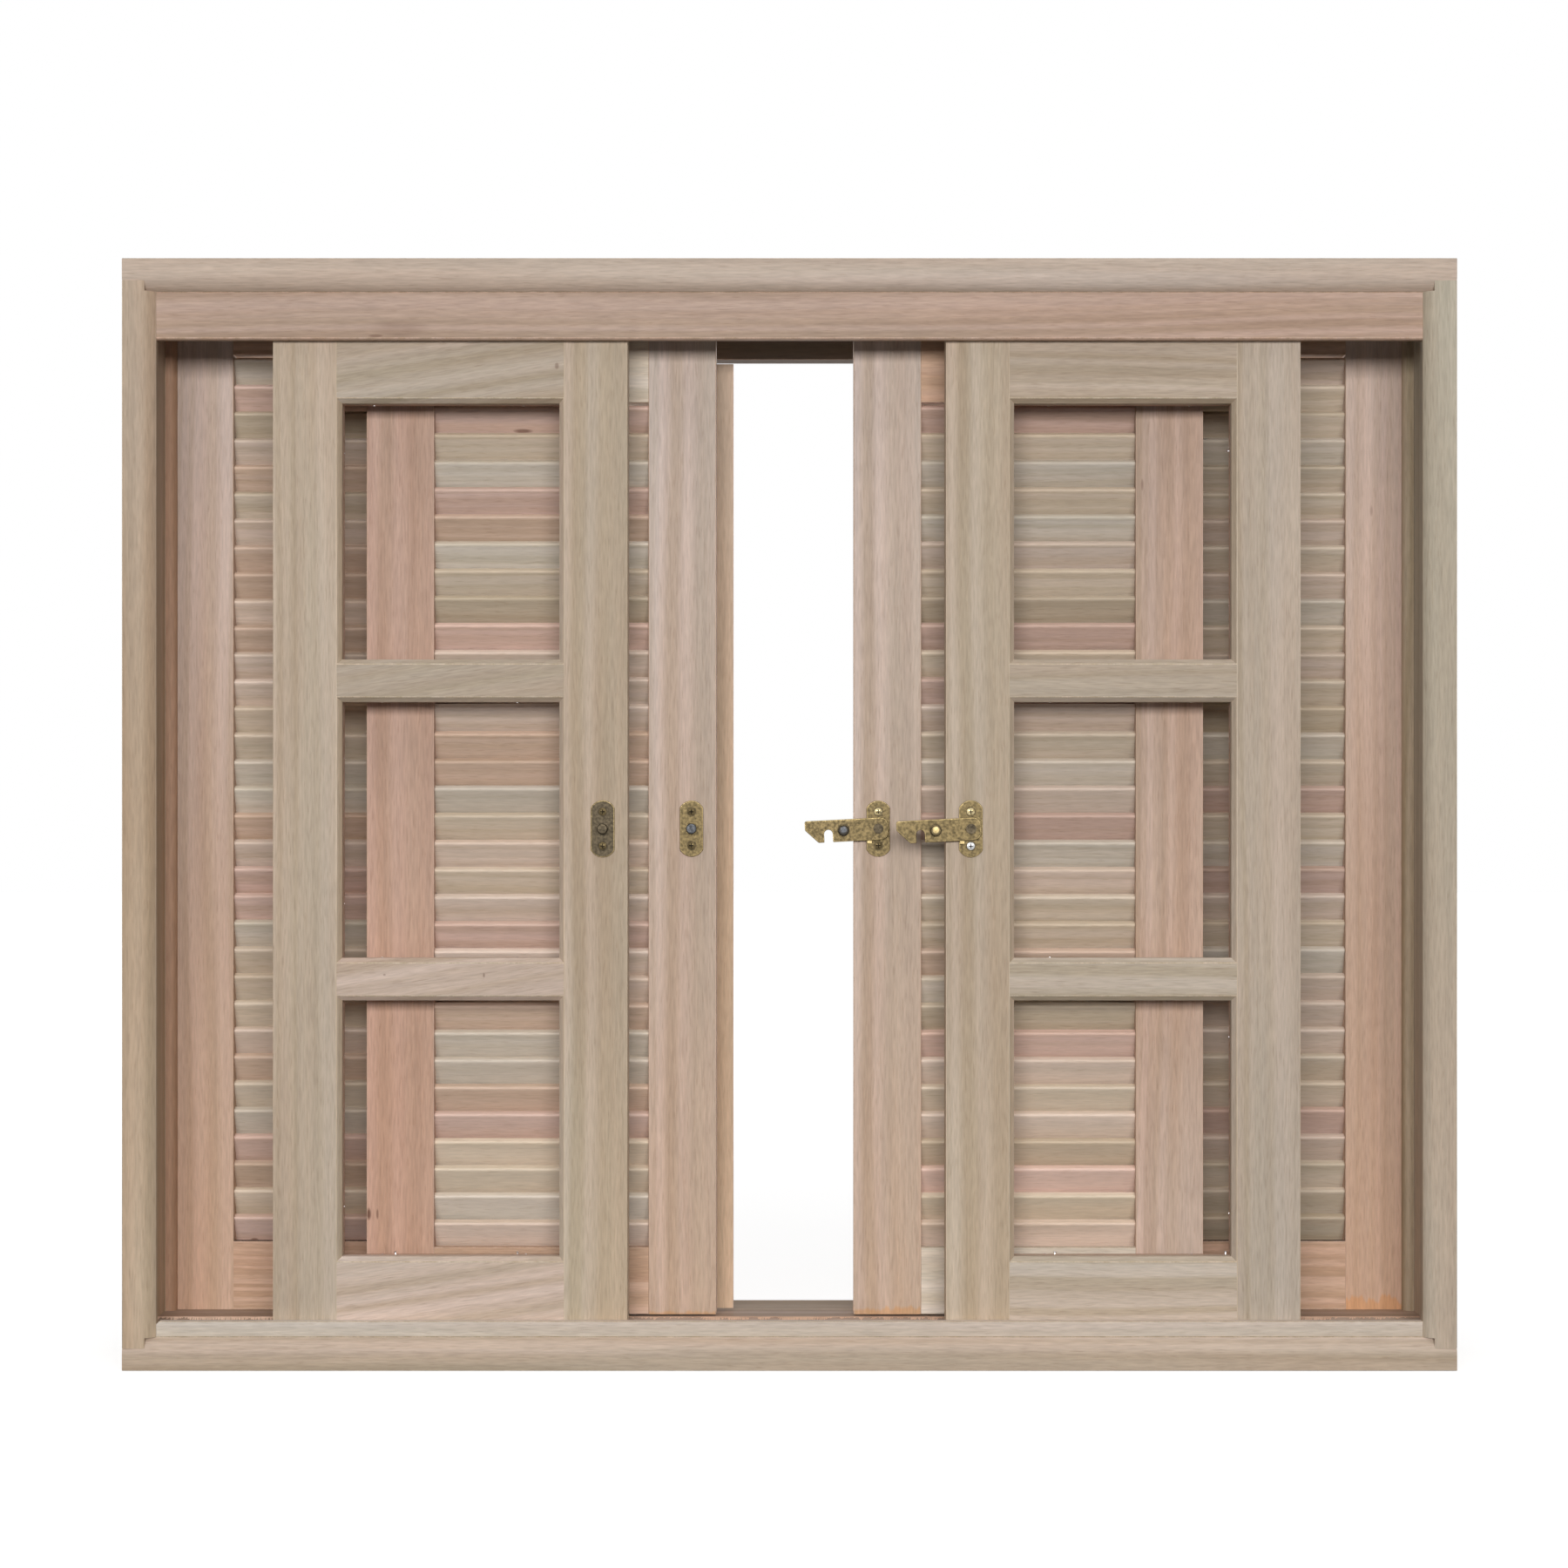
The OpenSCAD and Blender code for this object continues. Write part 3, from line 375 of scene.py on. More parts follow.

# %% [markdown]
# Rings are pale early wood and dark late wood. Over them lie streaks a few millimetres wide and
# fibres thinner than one. A slat also has a shade of its own and a painted highlight on its upper
# edge, where light catches the nosing. One contrast for all would flatten some boards and stripe
# others, so each board has its own figure.

# %% Shades of the grain
LIGHT_RING = (1.07, 1.075, 1.085, 1)
DARK_RING = (0.86, 0.84, 0.77, 1)
STICK_SHADES = 0.94, 1.05
# Painted light: between these heights a panel's lift changes, lighter low down and darker higher up.
PAINTED_LIGHT_HEIGHTS = 0.2, 0.5
# Painted highlight: the upper edge of every slat is made lighter, for light caught on the nosing.
HIGHLIGHT_FROM, HIGHLIGHT_FULL = 0.0108, 0.0130
EDGE_HIGHLIGHT = 1.28


def ringed(tree, colour, rings, figure):
    """A colour with its rings. A figure of 1 is the usual contrast, and 0 is none."""
    light = mix(tree, 1.0, colour, LIGHT_RING, "MULTIPLY")
    dark = mix(tree, 1.0, colour, DARK_RING, "MULTIPLY")
    late = ease(tree, rings, 0.34, 0.66, 0.5 - 0.5 * figure, 0.5 + 0.5 * figure)
    return mix(tree, late, light, dark)


def grain_shade(tree, streak, fibre, bands, lines):
    """How light or dark the streaks and fibres are, round 1."""
    banded = ease(tree, streak, 0.25, 0.75, 1 - bands, 1 + bands)
    return times(tree, banded, ease(tree, fibre, 0.28, 0.72, 1 - lines, 1 + lines))


def slat_shade(tree, y, z, panel_y, number, seed, lift):
    """A slat's own shade, its panel's lift, partly painted light, and a painted highlight on its upper
    edge.
    """
    inputs = {"W": plus(tree, number, seed)}
    own = add(tree, "ShaderNodeTexWhiteNoise", inputs, noise_dimensions="1D").outputs[0]
    lifted = ease(tree, z, *PAINTED_LIGHT_HEIGHTS, *lift)
    shade = times(tree, ease(tree, own, 0.0, 1.0, *STICK_SHADES), lifted)
    up_slat = slat_height(tree, y, z, panel_y, number)
    # Painted highlight on the slat's upper edge.
    return times(tree, shade, ease(tree, up_slat, HIGHLIGHT_FROM, HIGHLIGHT_FULL, 1.0, EDGE_HIGHLIGHT))


print("late wood keeps", DARK_RING[0], "of the red and", DARK_RING[2], "of the blue")

# %% [markdown]
# Two marks lie on a few boards. A knot is a small brown oval whose rim frays along the grain. A
# foot that stood in water is orange in ragged strands, because water climbs some pores higher than
# others. Decals would do, but marks in the finish follow the grain by themselves.

# %% Knots and damp feet
KNOT = linear(96, 62, 44)
FRAYED = 1.6
DAMP = (1.08, 0.87, 0.62, 1)
DAMP_STRENGTH = 0.9


def knotted(tree, colour, x, z, streak, knot):
    """Paints a knot: where it is, half its length, half its height and how brown it is."""
    knot_x, knot_z, half_l, half_h, brown = knot
    far_x = calc(tree, "DIVIDE", minus(tree, x, knot_x), half_l)
    far_z = calc(tree, "DIVIDE", minus(tree, z, knot_z), half_h)
    far = plus(tree, calc(tree, "POWER", far_x, 2.0), calc(tree, "POWER", far_z, 2.0))
    ragged = plus(tree, far, times(tree, minus(tree, streak, 0.5), FRAYED))
    return mix(tree, ease(tree, ragged, 0.2, 1.3, brown, 0.0), colour, KNOT)


def damp_foot(tree, colour, z, grain, foot, rise):
    """Stains a foot, from its height up to a rise above it in the longest strands."""
    strands = ease(tree, noise(tree, grain, (150, 150, 0.5), 3.0), 0.3, 0.7, 0.3, 1.0)
    above = minus(tree, minus(tree, z, foot), times(tree, strands, rise))
    return tinted(tree, ease(tree, above, -0.002, 0.0008, DAMP_STRENGTH, 0.0), colour, DAMP)


print("a damp foot turns orange by", DAMP_STRENGTH)

# %% [markdown]
# Now the finish itself: a tone, rings, a warm cloud here and there, streaks, fibres and pores,
# which are the darkest grains of a very fine noise. Streaks and pores also drive the bump and the
# gloss, because on planed wood what is darker is also lower and duller. Slats were planed finer,
# so their grain is weaker.

# %% The finish
WARM = (1.03, 0.93, 0.88, 1)
PORE = (0.62, 0.52, 0.42, 1)
PORE_STRENGTH = 0.24
BOARD_GRAIN = 0.08, 0.11, 0.55
SLAT_GRAIN = 0.05, 0.07, 0.35


def wood(name, tone, run, middle, seed, ring=0.011, heart=(0.03, 0.06), slope=0.0, figure=1.0,
         fade=False, sides=False, slats=None, lift=(1.0, 1.0), knots=(), damp=None):
    """Planed bare wood. run is up or level; slats is the panel's depth and its number of slats."""
    made, tree, spot, skin = new_finish(name)
    x, y, z = add(tree, "ShaderNodeSeparateXYZ", {0: spot}).outputs
    number = slat_number(tree, y, z, slats[0]) if slats else None
    across, along = grain_axes(tree, x, z, run, slope, seed, number)
    grain = add(tree, "ShaderNodeCombineXYZ", {0: across, 1: y, 2: along}).outputs[0]
    heart_across = middle[0 if run == "up" else 2] + heart[0]
    rings = growth_rings(tree, grain, across, y, heart_across, middle[1] + heart[1], ring)
    bands, lines, clouds = SLAT_GRAIN if slats else BOARD_GRAIN
    cloud = ease(tree, noise(tree, grain, (30, 30, 1.4), 3.0), 0.40, 0.62, 0.0, clouds)
    streak = noise(tree, grain, (110, 110, 3), 5.0)
    fibre = noise(tree, grain, (620, 620, 55), 2.0)
    pore = ease(tree, noise(tree, grain, (900, 900, 75), 1.0), 0.58, 0.72, 0.0, 1.0)

    where = plus(tree, x, 0.5) if sides else z
    shade = grain_shade(tree, streak, fibre, bands, lines)
    if slats:
        where = calc(tree, "DIVIDE", plus(tree, number, 0.5), slats[1])
        shade = times(tree, shade, slat_shade(tree, y, z, slats[0], number, seed, lift))
    colour = ringed(tree, tone_of(tree, tone, where, fade), rings, figure)
    colour = tinted(tree, cloud, colour, WARM)
    colour = add(tree, "ShaderNodeVectorMath", {0: colour, "Scale": shade}, operation="SCALE").outputs[0]
    colour = tinted(tree, times(tree, pore, PORE_STRENGTH), colour, PORE)
    if damp:
        colour = damp_foot(tree, colour, z, grain, *damp)
    for knot in knots:
        colour = knotted(tree, colour, x, z, streak, knot)

    height = minus(tree, plus(tree, streak, times(tree, fibre, 0.6)), pore)
    bump = add(tree, "ShaderNodeBump", {"Strength": 0.25, "Distance": 0.0004, "Height": height}).outputs[0]
    rough = ease(tree, streak, 0.2, 0.8, 0.70, 0.55)
    plug(tree, skin, {"Base Color": colour, "Roughness": rough, "Normal": bump, "Specular IOR Level": 0.3})
    return made


print("pores take", PORE_STRENGTH, "of their full depth")

# %% [markdown]
# ## Which board is which
# The joiner used two kinds of timber as they came: straw to olive, and rose to salmon. Sashes and
# frame are mostly straw, and the louvred leaves mostly rose. Where several rails are one mesh, the
# tone changes at a height between them. The stop beads' tone changes from side to side.

# %% Boards of more than one tone
LEFT_RAILS = [(0, "petal"), (0.2, "blush"), (0.48, "flax")]
RIGHT_RAILS = [(0, "linen"), (0.2, "grey"), (0.48, "flax")]
LEFT_FOOT = [(0, "biscuit"), (0.0665, "oat"), (0.0692, "salmon")]
STOPS = [(0, "umber"), (0.5, "moss")]
REDDENED = [(0, "coral"), (0.25, "coral"), (0.6, "rose")]
# The next three fades are painted light: warmer or paler at a stile's foot and cooler higher up.
REDDER_LOW = [(0, "apricot"), (0.1, "apricot"), (0.4, "shell"), (0.85, "mauve")]
PINKER_LOW = [(0, "peach"), (0.1, "peach"), (0.45, "blush"), (0.85, "mist")]
PALER_LOW = [(0, "reed"), (0.1, "reed"), (0.35, "straw")]
EDGE_STRIP = [(0, "amber"), (0.1, "amber"), (0.45, "honey"), (0.85, "fawn")]
LEFT_JAMB = [(0, "bran"), (0.1, "bran"), (0.5, "husk"), (0.85, "chaff")]
RIGHT_JAMB = [(0, "grey"), (0.2, "grey"), (0.6, "slate")]
SILL = [(0, "clay"), (0.012, "clay"), (0.022, "sand"), (0.034, "sand"), (0.037, "wheat")]
# Painted light: darker towards the top of the stile, where less light falls.
DUSKIER_HIGH = [(0, "blush"), (0.3, "shell"), (0.8, "dusk")]
print("the sill's tone changes at", len(SILL) - 1, "heights")

# %% [markdown]
# Every board gets its tone, the way its grain runs, and what sets its log apart: narrow or wide
# rings, a strong or a weak figure, a slope. One finish for all would look like a print. The order
# of the list matters, because a board's number shifts its grain.

# %% Board by board
BOARDS = [
    ("head", "pale", "level", {"figure": 0.8}),
    ("sill", SILL, "level", {"fade": True, "figure": 1.4}),
    ("left_jamb", LEFT_JAMB, "up", {"fade": True, "ring": 0.012, "figure": 0.8}),
    ("right_jamb", RIGHT_JAMB, "up", {"fade": True, "figure": 0.7}),
    ("valance", "dusk", "level", {"figure": 1.25, "heart": (0.06, 0.03), "slope": 0.012}),
    # The rear fascia's dark tone is painted shade, for the deep shadow under the head.
    ("rear_fascia", "bark", "level", {}),
    ("front_bead", "cream", "level", {"figure": 1.3}),
    ("track_board", "dust", "level", {}),
    ("stop_beads", STOPS, "up", {"sides": True}),
    ("left_fixed_stiles", REDDER_LOW, "up", {"fade": True, "figure": 0.7}),
    ("left_fixed_rails", "salmon", "level", {"figure": 1.4, "ring": 0.006}),
    ("right_fixed_stiles", REDDER_LOW, "up", {"fade": True, "figure": 0.8}),
    ("right_fixed_rails", "salmon", "level", {"figure": 1.3}),
    ("left_shutter_outer_stile", REDDENED, "up", {"fade": True, "figure": 0.8}),
    ("left_shutter_meeting_stile", PINKER_LOW, "up", {"fade": True}),
    ("left_shutter_top_rail", "oat", "level", {}),
    ("left_shutter_bottom_rail", LEFT_FOOT, "level", {}),
    ("left_shutter_astragal", EDGE_STRIP, "up", {"fade": True}),
    ("right_shutter_outer_stile", DUSKIER_HIGH, "up", {"fade": True, "ring": 0.007}),
    ("right_shutter_meeting_stile", PINKER_LOW, "up", {"fade": True}),
    ("right_shutter_top_rail", "salmon", "level", {}),
    ("right_shutter_bottom_rail", "oat", "level", {}),
    ("left_sash_outer_stile", "straw", "up", {"ring": 0.009}),
    ("left_sash_meeting_stile", PALER_LOW, "up", {"fade": True, "figure": 1.2}),
    ("left_sash_rails", LEFT_RAILS, "level", {"slope": 0.15, "ring": 0.016}),
    ("left_sash_glazing_beads", "rose", "level", {}),
    ("right_sash_outer_stile", "dove", "up", {"ring": 0.009, "figure": 1.3}),
    ("right_sash_meeting_stile", PALER_LOW, "up", {"fade": True}),
    ("right_sash_rails", RIGHT_RAILS, "level", {"ring": 0.013}),
    ("right_sash_glazing_beads", "rose", "level", {}),
]
print(len(BOARDS), "boards and sets of boards")

# %% [markdown]
# Knots and damp feet belong to single boards, and are listed apart so that the list of boards
# stays easy to read. A knot says where it is, how far it reaches and how brown it is. A foot says
# its height and how far the water has climbed.

# %% Put the wood on
KNOTS = {
    "valance": [(-0.373, 0.9315, 0.006, 0.0014, 0.5), (-0.352, 0.9385, 0.024, 0.0075, 0.2)],
    "right_fixed_stiles": [(0.542, 0.783, 0.0016, 0.006, 0.4)],
    "left_shutter_outer_stile": [(-0.3865, 0.1330, 0.0022, 0.0055, 0.9),
                                 (-0.3785, 0.1330, 0.0011, 0.0045, 0.6)],
    "right_shutter_outer_stile": [(0.324, 0.803, 0.0014, 0.006, 0.5)],
    "left_sash_rails": [(-0.3665, 0.3550, 0.0016, 0.0011, 0.5), (-0.2765, 0.3543, 0.0010, 0.0022, 0.5),
                        (-0.2105, 0.9060, 0.0020, 0.0030, 0.5)],
    "left_shutter_slats": [(-0.2460, 0.8540, 0.0085, 0.0020, 0.7)],
    "left_fixed_slats": [(-0.5010, 0.1020, 0.0035, 0.0016, 0.6)],
}
DAMP_FEET = {
    "right_fixed_stiles": (0.039, 0.018),
    "left_shutter_meeting_stile": (0.041, 0.004),
    "right_shutter_meeting_stile": (0.041, 0.010),
}


def wear(node, finish):
    """Gives a solid its finish."""
    nodes[node].data.materials.clear()
    nodes[node].data.materials.append(finish)


for seed, (node, tone, run, more) in enumerate(BOARDS):
    low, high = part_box(node)
    marks = {"knots": KNOTS.get(node, ()), "damp": DAMP_FEET.get(node)}
    wear(node, wood(node + "_wood", tone, run, (low + high) / 2, seed, **more, **marks))
print(sum(map(len, KNOTS.values())), "knots,", len(DAMP_FEET), "damp feet")

# %% [markdown]
# ## Slat by slat
# A louvre panel is sorted at the bench, stick by stick, and the mix of tones is what the eye
# remembers of it. Random tones would give another panel. Each letter below is one slat, from the
# lowest up: rose, tan, straw, grey, olive or pale.

# %% Tones of the slats
TONES.update({
    "rose_stick": (200, 173, 161), "tan_stick": (195, 171, 153), "straw_stick": (200, 185, 167),
    "grey_stick": (200, 190, 177), "olive_stick": (183, 168, 148), "pale_stick": (204, 186, 172),
})
STICKS = {
    "p": "rose_stick", "r": "tan_stick", "s": "straw_stick",
    "g": "grey_stick", "o": "olive_stick", "w": "pale_stick",
}
PANELS = {
    "left_shutter_slats": "wgssprggrwwpwswsgrrwwwposgrpgsp",
    "right_shutter_slats": "wspowswpogrsswgpwgswpsposwgsgsp",
    "left_fixed_slats": "psrpgsrwsssgppwrggsswwrwrrwsrwopg",
    "right_fixed_slats": "osswpsswwwgswpgspsgoswsgwswssgssw",
}


def runs_of(sticks):
    """Where the tone changes along a panel, as a share of its slats."""
    starts = [i for i in range(len(sticks)) if i == 0 or sticks[i] != sticks[i - 1]]
    return [(i / len(sticks), STICKS[sticks[i]]) for i in starts]


for node, sticks in PANELS.items():
    print(node, len(sticks), "slats in", len(runs_of(sticks)), "runs")

# %% [markdown]
# The sticks came from a few logs, some paler than others. On the shutters the lower slats are also
# painted lighter than the upper ones, as painted light that is stronger low down. So a panel has a
# lift for its lower and one for its upper part. The heart line lies far to the side, because slats
# are sawn with straight grain.

# %% Put the wood on the slats
FIRST_PANEL_SEED = 40
STICK_WOOD = {"ring": 0.008, "heart": (-0.3, 0.08), "figure": 0.6}
# Each lift mixes the logs' own paleness with painted light: the shutters' lower slats are lighter.
TONE_AND_LIGHT_LIFT = {
    "left_shutter_slats": (1.05, 0.965), "right_shutter_slats": (1.10, 0.88),
    "left_fixed_slats": (0.965, 0.965), "right_fixed_slats": (0.85, 0.85),
}
for seed, (node, sticks) in enumerate(PANELS.items(), FIRST_PANEL_SEED):
    low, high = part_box(node)
    middle = (low + high) / 2
    panel = {"slats": (middle.y, len(sticks)), "lift": TONE_AND_LIGHT_LIFT[node], "knots": KNOTS.get(node, ())}
    wear(node, wood(node + "_wood", runs_of(sticks), "level", middle, seed, **STICK_WOOD, **panel))
print(sum(map(len, PANELS.values())), "slats in", len(PANELS), "panels")

# %% [markdown]
# ## Soft arrises
# A planed edge is never razor sharp: a joiner takes it off with a stroke of sandpaper, and it
# shows as a thin pale line. The solids have sharp edges on purpose, and their meshes stay as they
# are, so the softening is a stack of modifiers on top. Two small groups of nodes begin and end it:
# one merges split corners into whole faces, and one shades curves smooth and edges crisp.

# %% Whole faces and smooth curves
SHARP = math.radians(28)
SAME_PLACE = 0.000002


def mesh_group(name):
    """An empty group of geometry nodes: (group, start, end)."""
    group = bpy.data.node_groups.new(name, "GeometryNodeTree")
    for way in ("INPUT", "OUTPUT"):
        group.interface.new_socket("Geometry", in_out=way, socket_type="NodeSocketGeometry")
    return group, add(group, "NodeGroupInput").outputs[0], add(group, "NodeGroupOutput").inputs[0]


def sharp_edges(group):
    """1 on edges where two faces meet at a clear angle."""
    return calc(group, "GREATER_THAN", add(group, "GeometryNodeInputMeshEdgeAngle").outputs[0], SHARP)


def use_group(piece, group):
    """Puts a group of nodes on a piece, as a modifier."""
    piece.modifiers.new(group.name, "NODES").node_group = group


whole, start, end = mesh_group("whole_faces")
merged = add(whole, "GeometryNodeMergeByDistance", {"Geometry": start, "Distance": SAME_PLACE})
old_normals = {"Geometry": merged.outputs[0], "Name": "custom_normal"}
whole.links.new(add(whole, "GeometryNodeRemoveAttribute", old_normals).outputs[0], end)

shaded, start, end = mesh_group("smooth_curves")
smooth = add(shaded, "GeometryNodeSetShadeSmooth", {"Geometry": start, "Shade Smooth": True}, domain="FACE")
edges = {"Geometry": smooth.outputs[0], "Selection": sharp_edges(shaded), "Shade Smooth": False}
shaded.links.new(add(shaded, "GeometryNodeSetShadeSmooth", edges, domain="EDGE").outputs[0], end)
for node in PANELS:
    use_group(nodes[node], whole)
    use_group(nodes[node], shaded)
print("an edge is sharp from", round(math.degrees(SHARP)), "degrees on")

# %% [markdown]
# Rounding every edge by its angle would be the short way. It would also open the housings of the
# slats and the mouths of the mortises, which have to stay tight. So only some edges are marked:
# long ones on the frame and the louvred leaves, and on the sashes only those in the front face.

# %% Marks for the arrises
SHORTEST_ARRIS = 0.1
SASH_FRONT = -0.053
JUST_BEHIND = 0.0001


def arris_marks(name, *tests):
    """A group that marks the sharp edges whose two ends pass every test."""
    group, start, end = mesh_group(name)
    ends = add(group, "GeometryNodeInputMeshEdgeVertices").outputs
    weight = sharp_edges(group)
    for test in tests:
        weight = times(group, weight, test(group, ends["Position 1"], ends["Position 2"]))
    inputs = {"Geometry": start, "Name": "bevel_weight_edge", "Value": weight}
    kept = add(group, "GeometryNodeStoreNamedAttribute", inputs, data_type="FLOAT", domain="EDGE")
    group.links.new(kept.outputs[0], end)
    return group


def is_long(group, first, second):
    """A test for edges longer than the shortest arris."""
    return calc(group, "GREATER_THAN", measure(group, "DISTANCE", first, second), SHORTEST_ARRIS)


def in_front_of(depth):
    """A test for edges that lie nearer to the room than a depth."""
    def test(group, first, second):
        y1, y2 = (add(group, "ShaderNodeSeparateXYZ", {0: place}).outputs[1] for place in (first, second))
        return calc(group, "LESS_THAN", calc(group, "MAXIMUM", y1, y2), depth)
    return test


long_arrises = arris_marks("long_arrises", is_long)
front_arrises = arris_marks("front_arrises", is_long, in_front_of(SASH_FRONT + JUST_BEHIND))
print("arrises are longer than", SHORTEST_ARRIS, "m")

# %% [markdown]
# Then a bevel rounds what is marked, half a millimetre wide, and gives it a second wood, paler
# where sandpaper went over it. Before that, flat triangles are dissolved into whole faces, or the
# bevel would stumble over their diagonals.

# %% Round the arrises
ARRIS_W = 0.00055
ARRIS_SEED = 77
FLAT_ANGLE = math.radians(0.5)


def soften(piece, width, marks):
    """Rounds the marked arrises of a solid, with its mesh left as it is."""
    use_group(piece, whole)
    flat = piece.modifiers.new("flat", "DECIMATE")
    flat.decimate_type = "DISSOLVE"
    flat.angle_limit = FLAT_ANGLE
    use_group(piece, marks)
    use_group(piece, shaded)
    round_over = piece.modifiers.new("arris", "BEVEL")
    round_over.width = width
    round_over.segments = 2
    round_over.use_clamp_overlap = False
    round_over.loop_slide = False
    round_over.limit_method = "WEIGHT"
    round_over.material = 1
    round_over.harden_normals = True


TONES.update({"rubbed_straw": (200, 185, 164), "rubbed_rose": (202, 175, 156)})
STRAW_TONES = {"dove", "slate", "chaff", "straw", "wheat", "flax", "grey", "pale", "cream", "oat", "moss"}
arris_woods = {}
for kind in ("straw", "rose"):
    arris_woods[kind] = wood(f"rubbed_{kind}_wood", f"rubbed_{kind}", "up", Vector(), ARRIS_SEED)
    tree = arris_woods[kind].node_tree
    plug(tree, tree.nodes["Principled BSDF"], {"Specular IOR Level": 0.2})
for node, tone, *_ in BOARDS:
    word = tone if isinstance(tone, str) else tone[-1][1]
    nodes[node].data.materials.append(arris_woods["straw" if word in STRAW_TONES else "rose"])
    soften(nodes[node], ARRIS_W, front_arrises if "_sash_" in node else long_arrises)
print("arrises rounded on", len(BOARDS), "boards")

# %% [markdown]
# ## Metal and nylon
# The latches are brass, darkened in a bath and then rubbed, so brown lies in patches and the metal
# shows on edges. One colour would look like paint. Patches come from two sizes of noise, and the
# roughness follows them, because the brown is dull and the rubbed metal isn't. Dark rings about the
# axes of screws and knobs are painted shade round their heads.

# %% Metal in two tones
# Painted shade: the colour and strength of the dark rings round screws and knobs.
RING_SHADE = linear(40, 35, 28)
RING_SHADE_STRENGTH = 0.8
FLATTEN = (1, 0, 1)


def from_axis(tree, spot, x, z):
    """How far a place is from an axis that runs front to back."""
    flat = add(tree, "ShaderNodeVectorMath", {0: spot, 1: FLATTEN}, operation="MULTIPLY").outputs[0]
    return measure(tree, "DISTANCE", flat, (x, 0, z))


def metal(name, dull, clear, low=0.46, high=0.84, stretch=(420, 420, 420), rough=(0.36, 0.50), rings=()):
    """Metal in two tones. low and high say how much is clear. A ring of painted shade is (x, z, inner,
    outer).
    """
    made, tree, spot, skin = new_finish(name)
    patch = noise(tree, spot, stretch, 4.0)
    scratch = noise(tree, spot, (900, 900, 2600), 2.0)
    share = ease(tree, plus(tree, patch, times(tree, scratch, 0.3)), low, high, 0.0, 1.0)
    colour = mix(tree, share, linear(*dull), linear(*clear))
    for ring_x, ring_z, inner, outer in rings:
        far = from_axis(tree, spot, ring_x, ring_z)
        inside = ease(tree, far, inner - 0.0004, inner + 0.0004, 0.0, RING_SHADE_STRENGTH)
        outside = ease(tree, far, outer - 0.0008, outer + 0.0004, 1.0, 0.0)
        colour = mix(tree, times(tree, inside, outside), colour, RING_SHADE)
    bump = add(tree, "ShaderNodeBump", {"Strength": 0.06, "Distance": 0.0001, "Height": scratch}).outputs[0]
    dullness = ease(tree, share, 0.0, 1.0, rough[1], rough[0])
    plug(tree, skin, {"Base Color": colour, "Metallic": 1.0, "Roughness": dullness, "Normal": bump})
    return made


BRONZE = (46, 41, 33), (70, 62, 49)
BRASS = (62, 54, 38), (98, 85, 59)
RUBBED = (112, 98, 67), (156, 138, 98)
BLUED = (46, 47, 49), (74, 75, 77)
RUBBED_GLOSS = 0.26, 0.40
bronze = metal("dark_bronze", *BRONZE)
brass = metal("antique_brass", *BRASS)
rubbed_brass = metal("rubbed_brass", *RUBBED, rough=RUBBED_GLOSS)
bright_brass = metal("bright_brass", (140, 124, 86), (206, 190, 150), rough=(0.22, 0.36))
blued_steel = metal("blued_steel", *BLUED)
# Painted shade: a near-black metal for the screw faces that lie level with a plate.
slot_shade = metal("screw_slot_shade", (26, 23, 19), (48, 42, 33), rough=(0.6, 0.8))
print(*(made.name for made in (bronze, brass, rubbed_brass, bright_brass, blued_steel, slot_shade)))

# %% [markdown]
# The hidden gear is plainer. Tracks were pressed through a die and keep fine lines along their
# length, so their noise is drawn out. Zinc on hangers and screws is mottled. Wheels and guides are
# moulded nylon, a little uneven and never quite white. All of it could be left grey behind the
# valance, but from behind it shows.

# %% Finishes of the gear
ZINC_PATCH = (150, 150, 150)
TRACK_LINES = (6, 900, 900)
NYLON = (232, 229, 219)
NYLON_ROUGHNESS = 0.42


def plastic(name, tone, rough):
    """Moulded nylon, with the faint mottle of the mould."""
    made, tree, spot, skin = new_finish(name)
    mottle = noise(tree, spot, (180, 180, 180), 3.0)
    colour = mix(tree, mottle, linear(*tone), linear(*[0.92 * value for value in tone]))
    bump = add(tree, "ShaderNodeBump", {"Strength": 0.1, "Distance": 0.0002, "Height": mottle}).outputs[0]
    dullness = ease(tree, mottle, 0.2, 0.8, rough, rough + 0.15)
    plug(tree, skin, {"Base Color": colour, "Roughness": dullness, "Normal": bump})
    return made


ZINC = (150, 152, 154), (206, 207, 206)
TRACK = (176, 178, 180), (216, 217, 218)
STEEL = (222, 223, 225), (248, 248, 249)
zinc = metal("zinc_plate", *ZINC, 0.40, 0.85, ZINC_PATCH, (0.28, 0.46))
track_metal = metal("track_aluminium_metal", *TRACK, 0.35, 0.9, TRACK_LINES, (0.30, 0.44))
new_steel = metal("new_steel", *STEEL, 0.40, 0.85, ZINC_PATCH, (0.2, 0.3))
nylon = plastic("nylon_white", NYLON, NYLON_ROUGHNESS)
GEAR = {"_track": track_metal, "_guides": nylon, "_wheel": nylon, "_hangers": zinc, "_screws": zinc}
geared = [(node, finish) for node in nodes for ending, finish in GEAR.items() if node.endswith(ending)]
for node, finish in geared:
    wear(node, finish)
print(len(geared), "pieces of gear finished")

# %% [markdown]
# ## Latches
# A plate, its rivet and its stop are one solid, and so are a hook and its knob. Each was rubbed
# differently, so faces are picked by where they lie and get a finish of their own. Their rims are
# rounded like the arrises, but away from holes, rivet and stop, where a bevel has no room.

# %% Helpers for parts of a fitting
def part_of(node, finish, inside):
    """Gives the faces of a solid whose middles pass a test their own finish, and counts them."""
    mesh = nodes[node].data
    mesh.materials.append(finish)
    faces = [face for face in mesh.polygons if inside(face.center)]
    for face in faces:
        face.material_index = len(mesh.materials) - 1
    return len(faces)


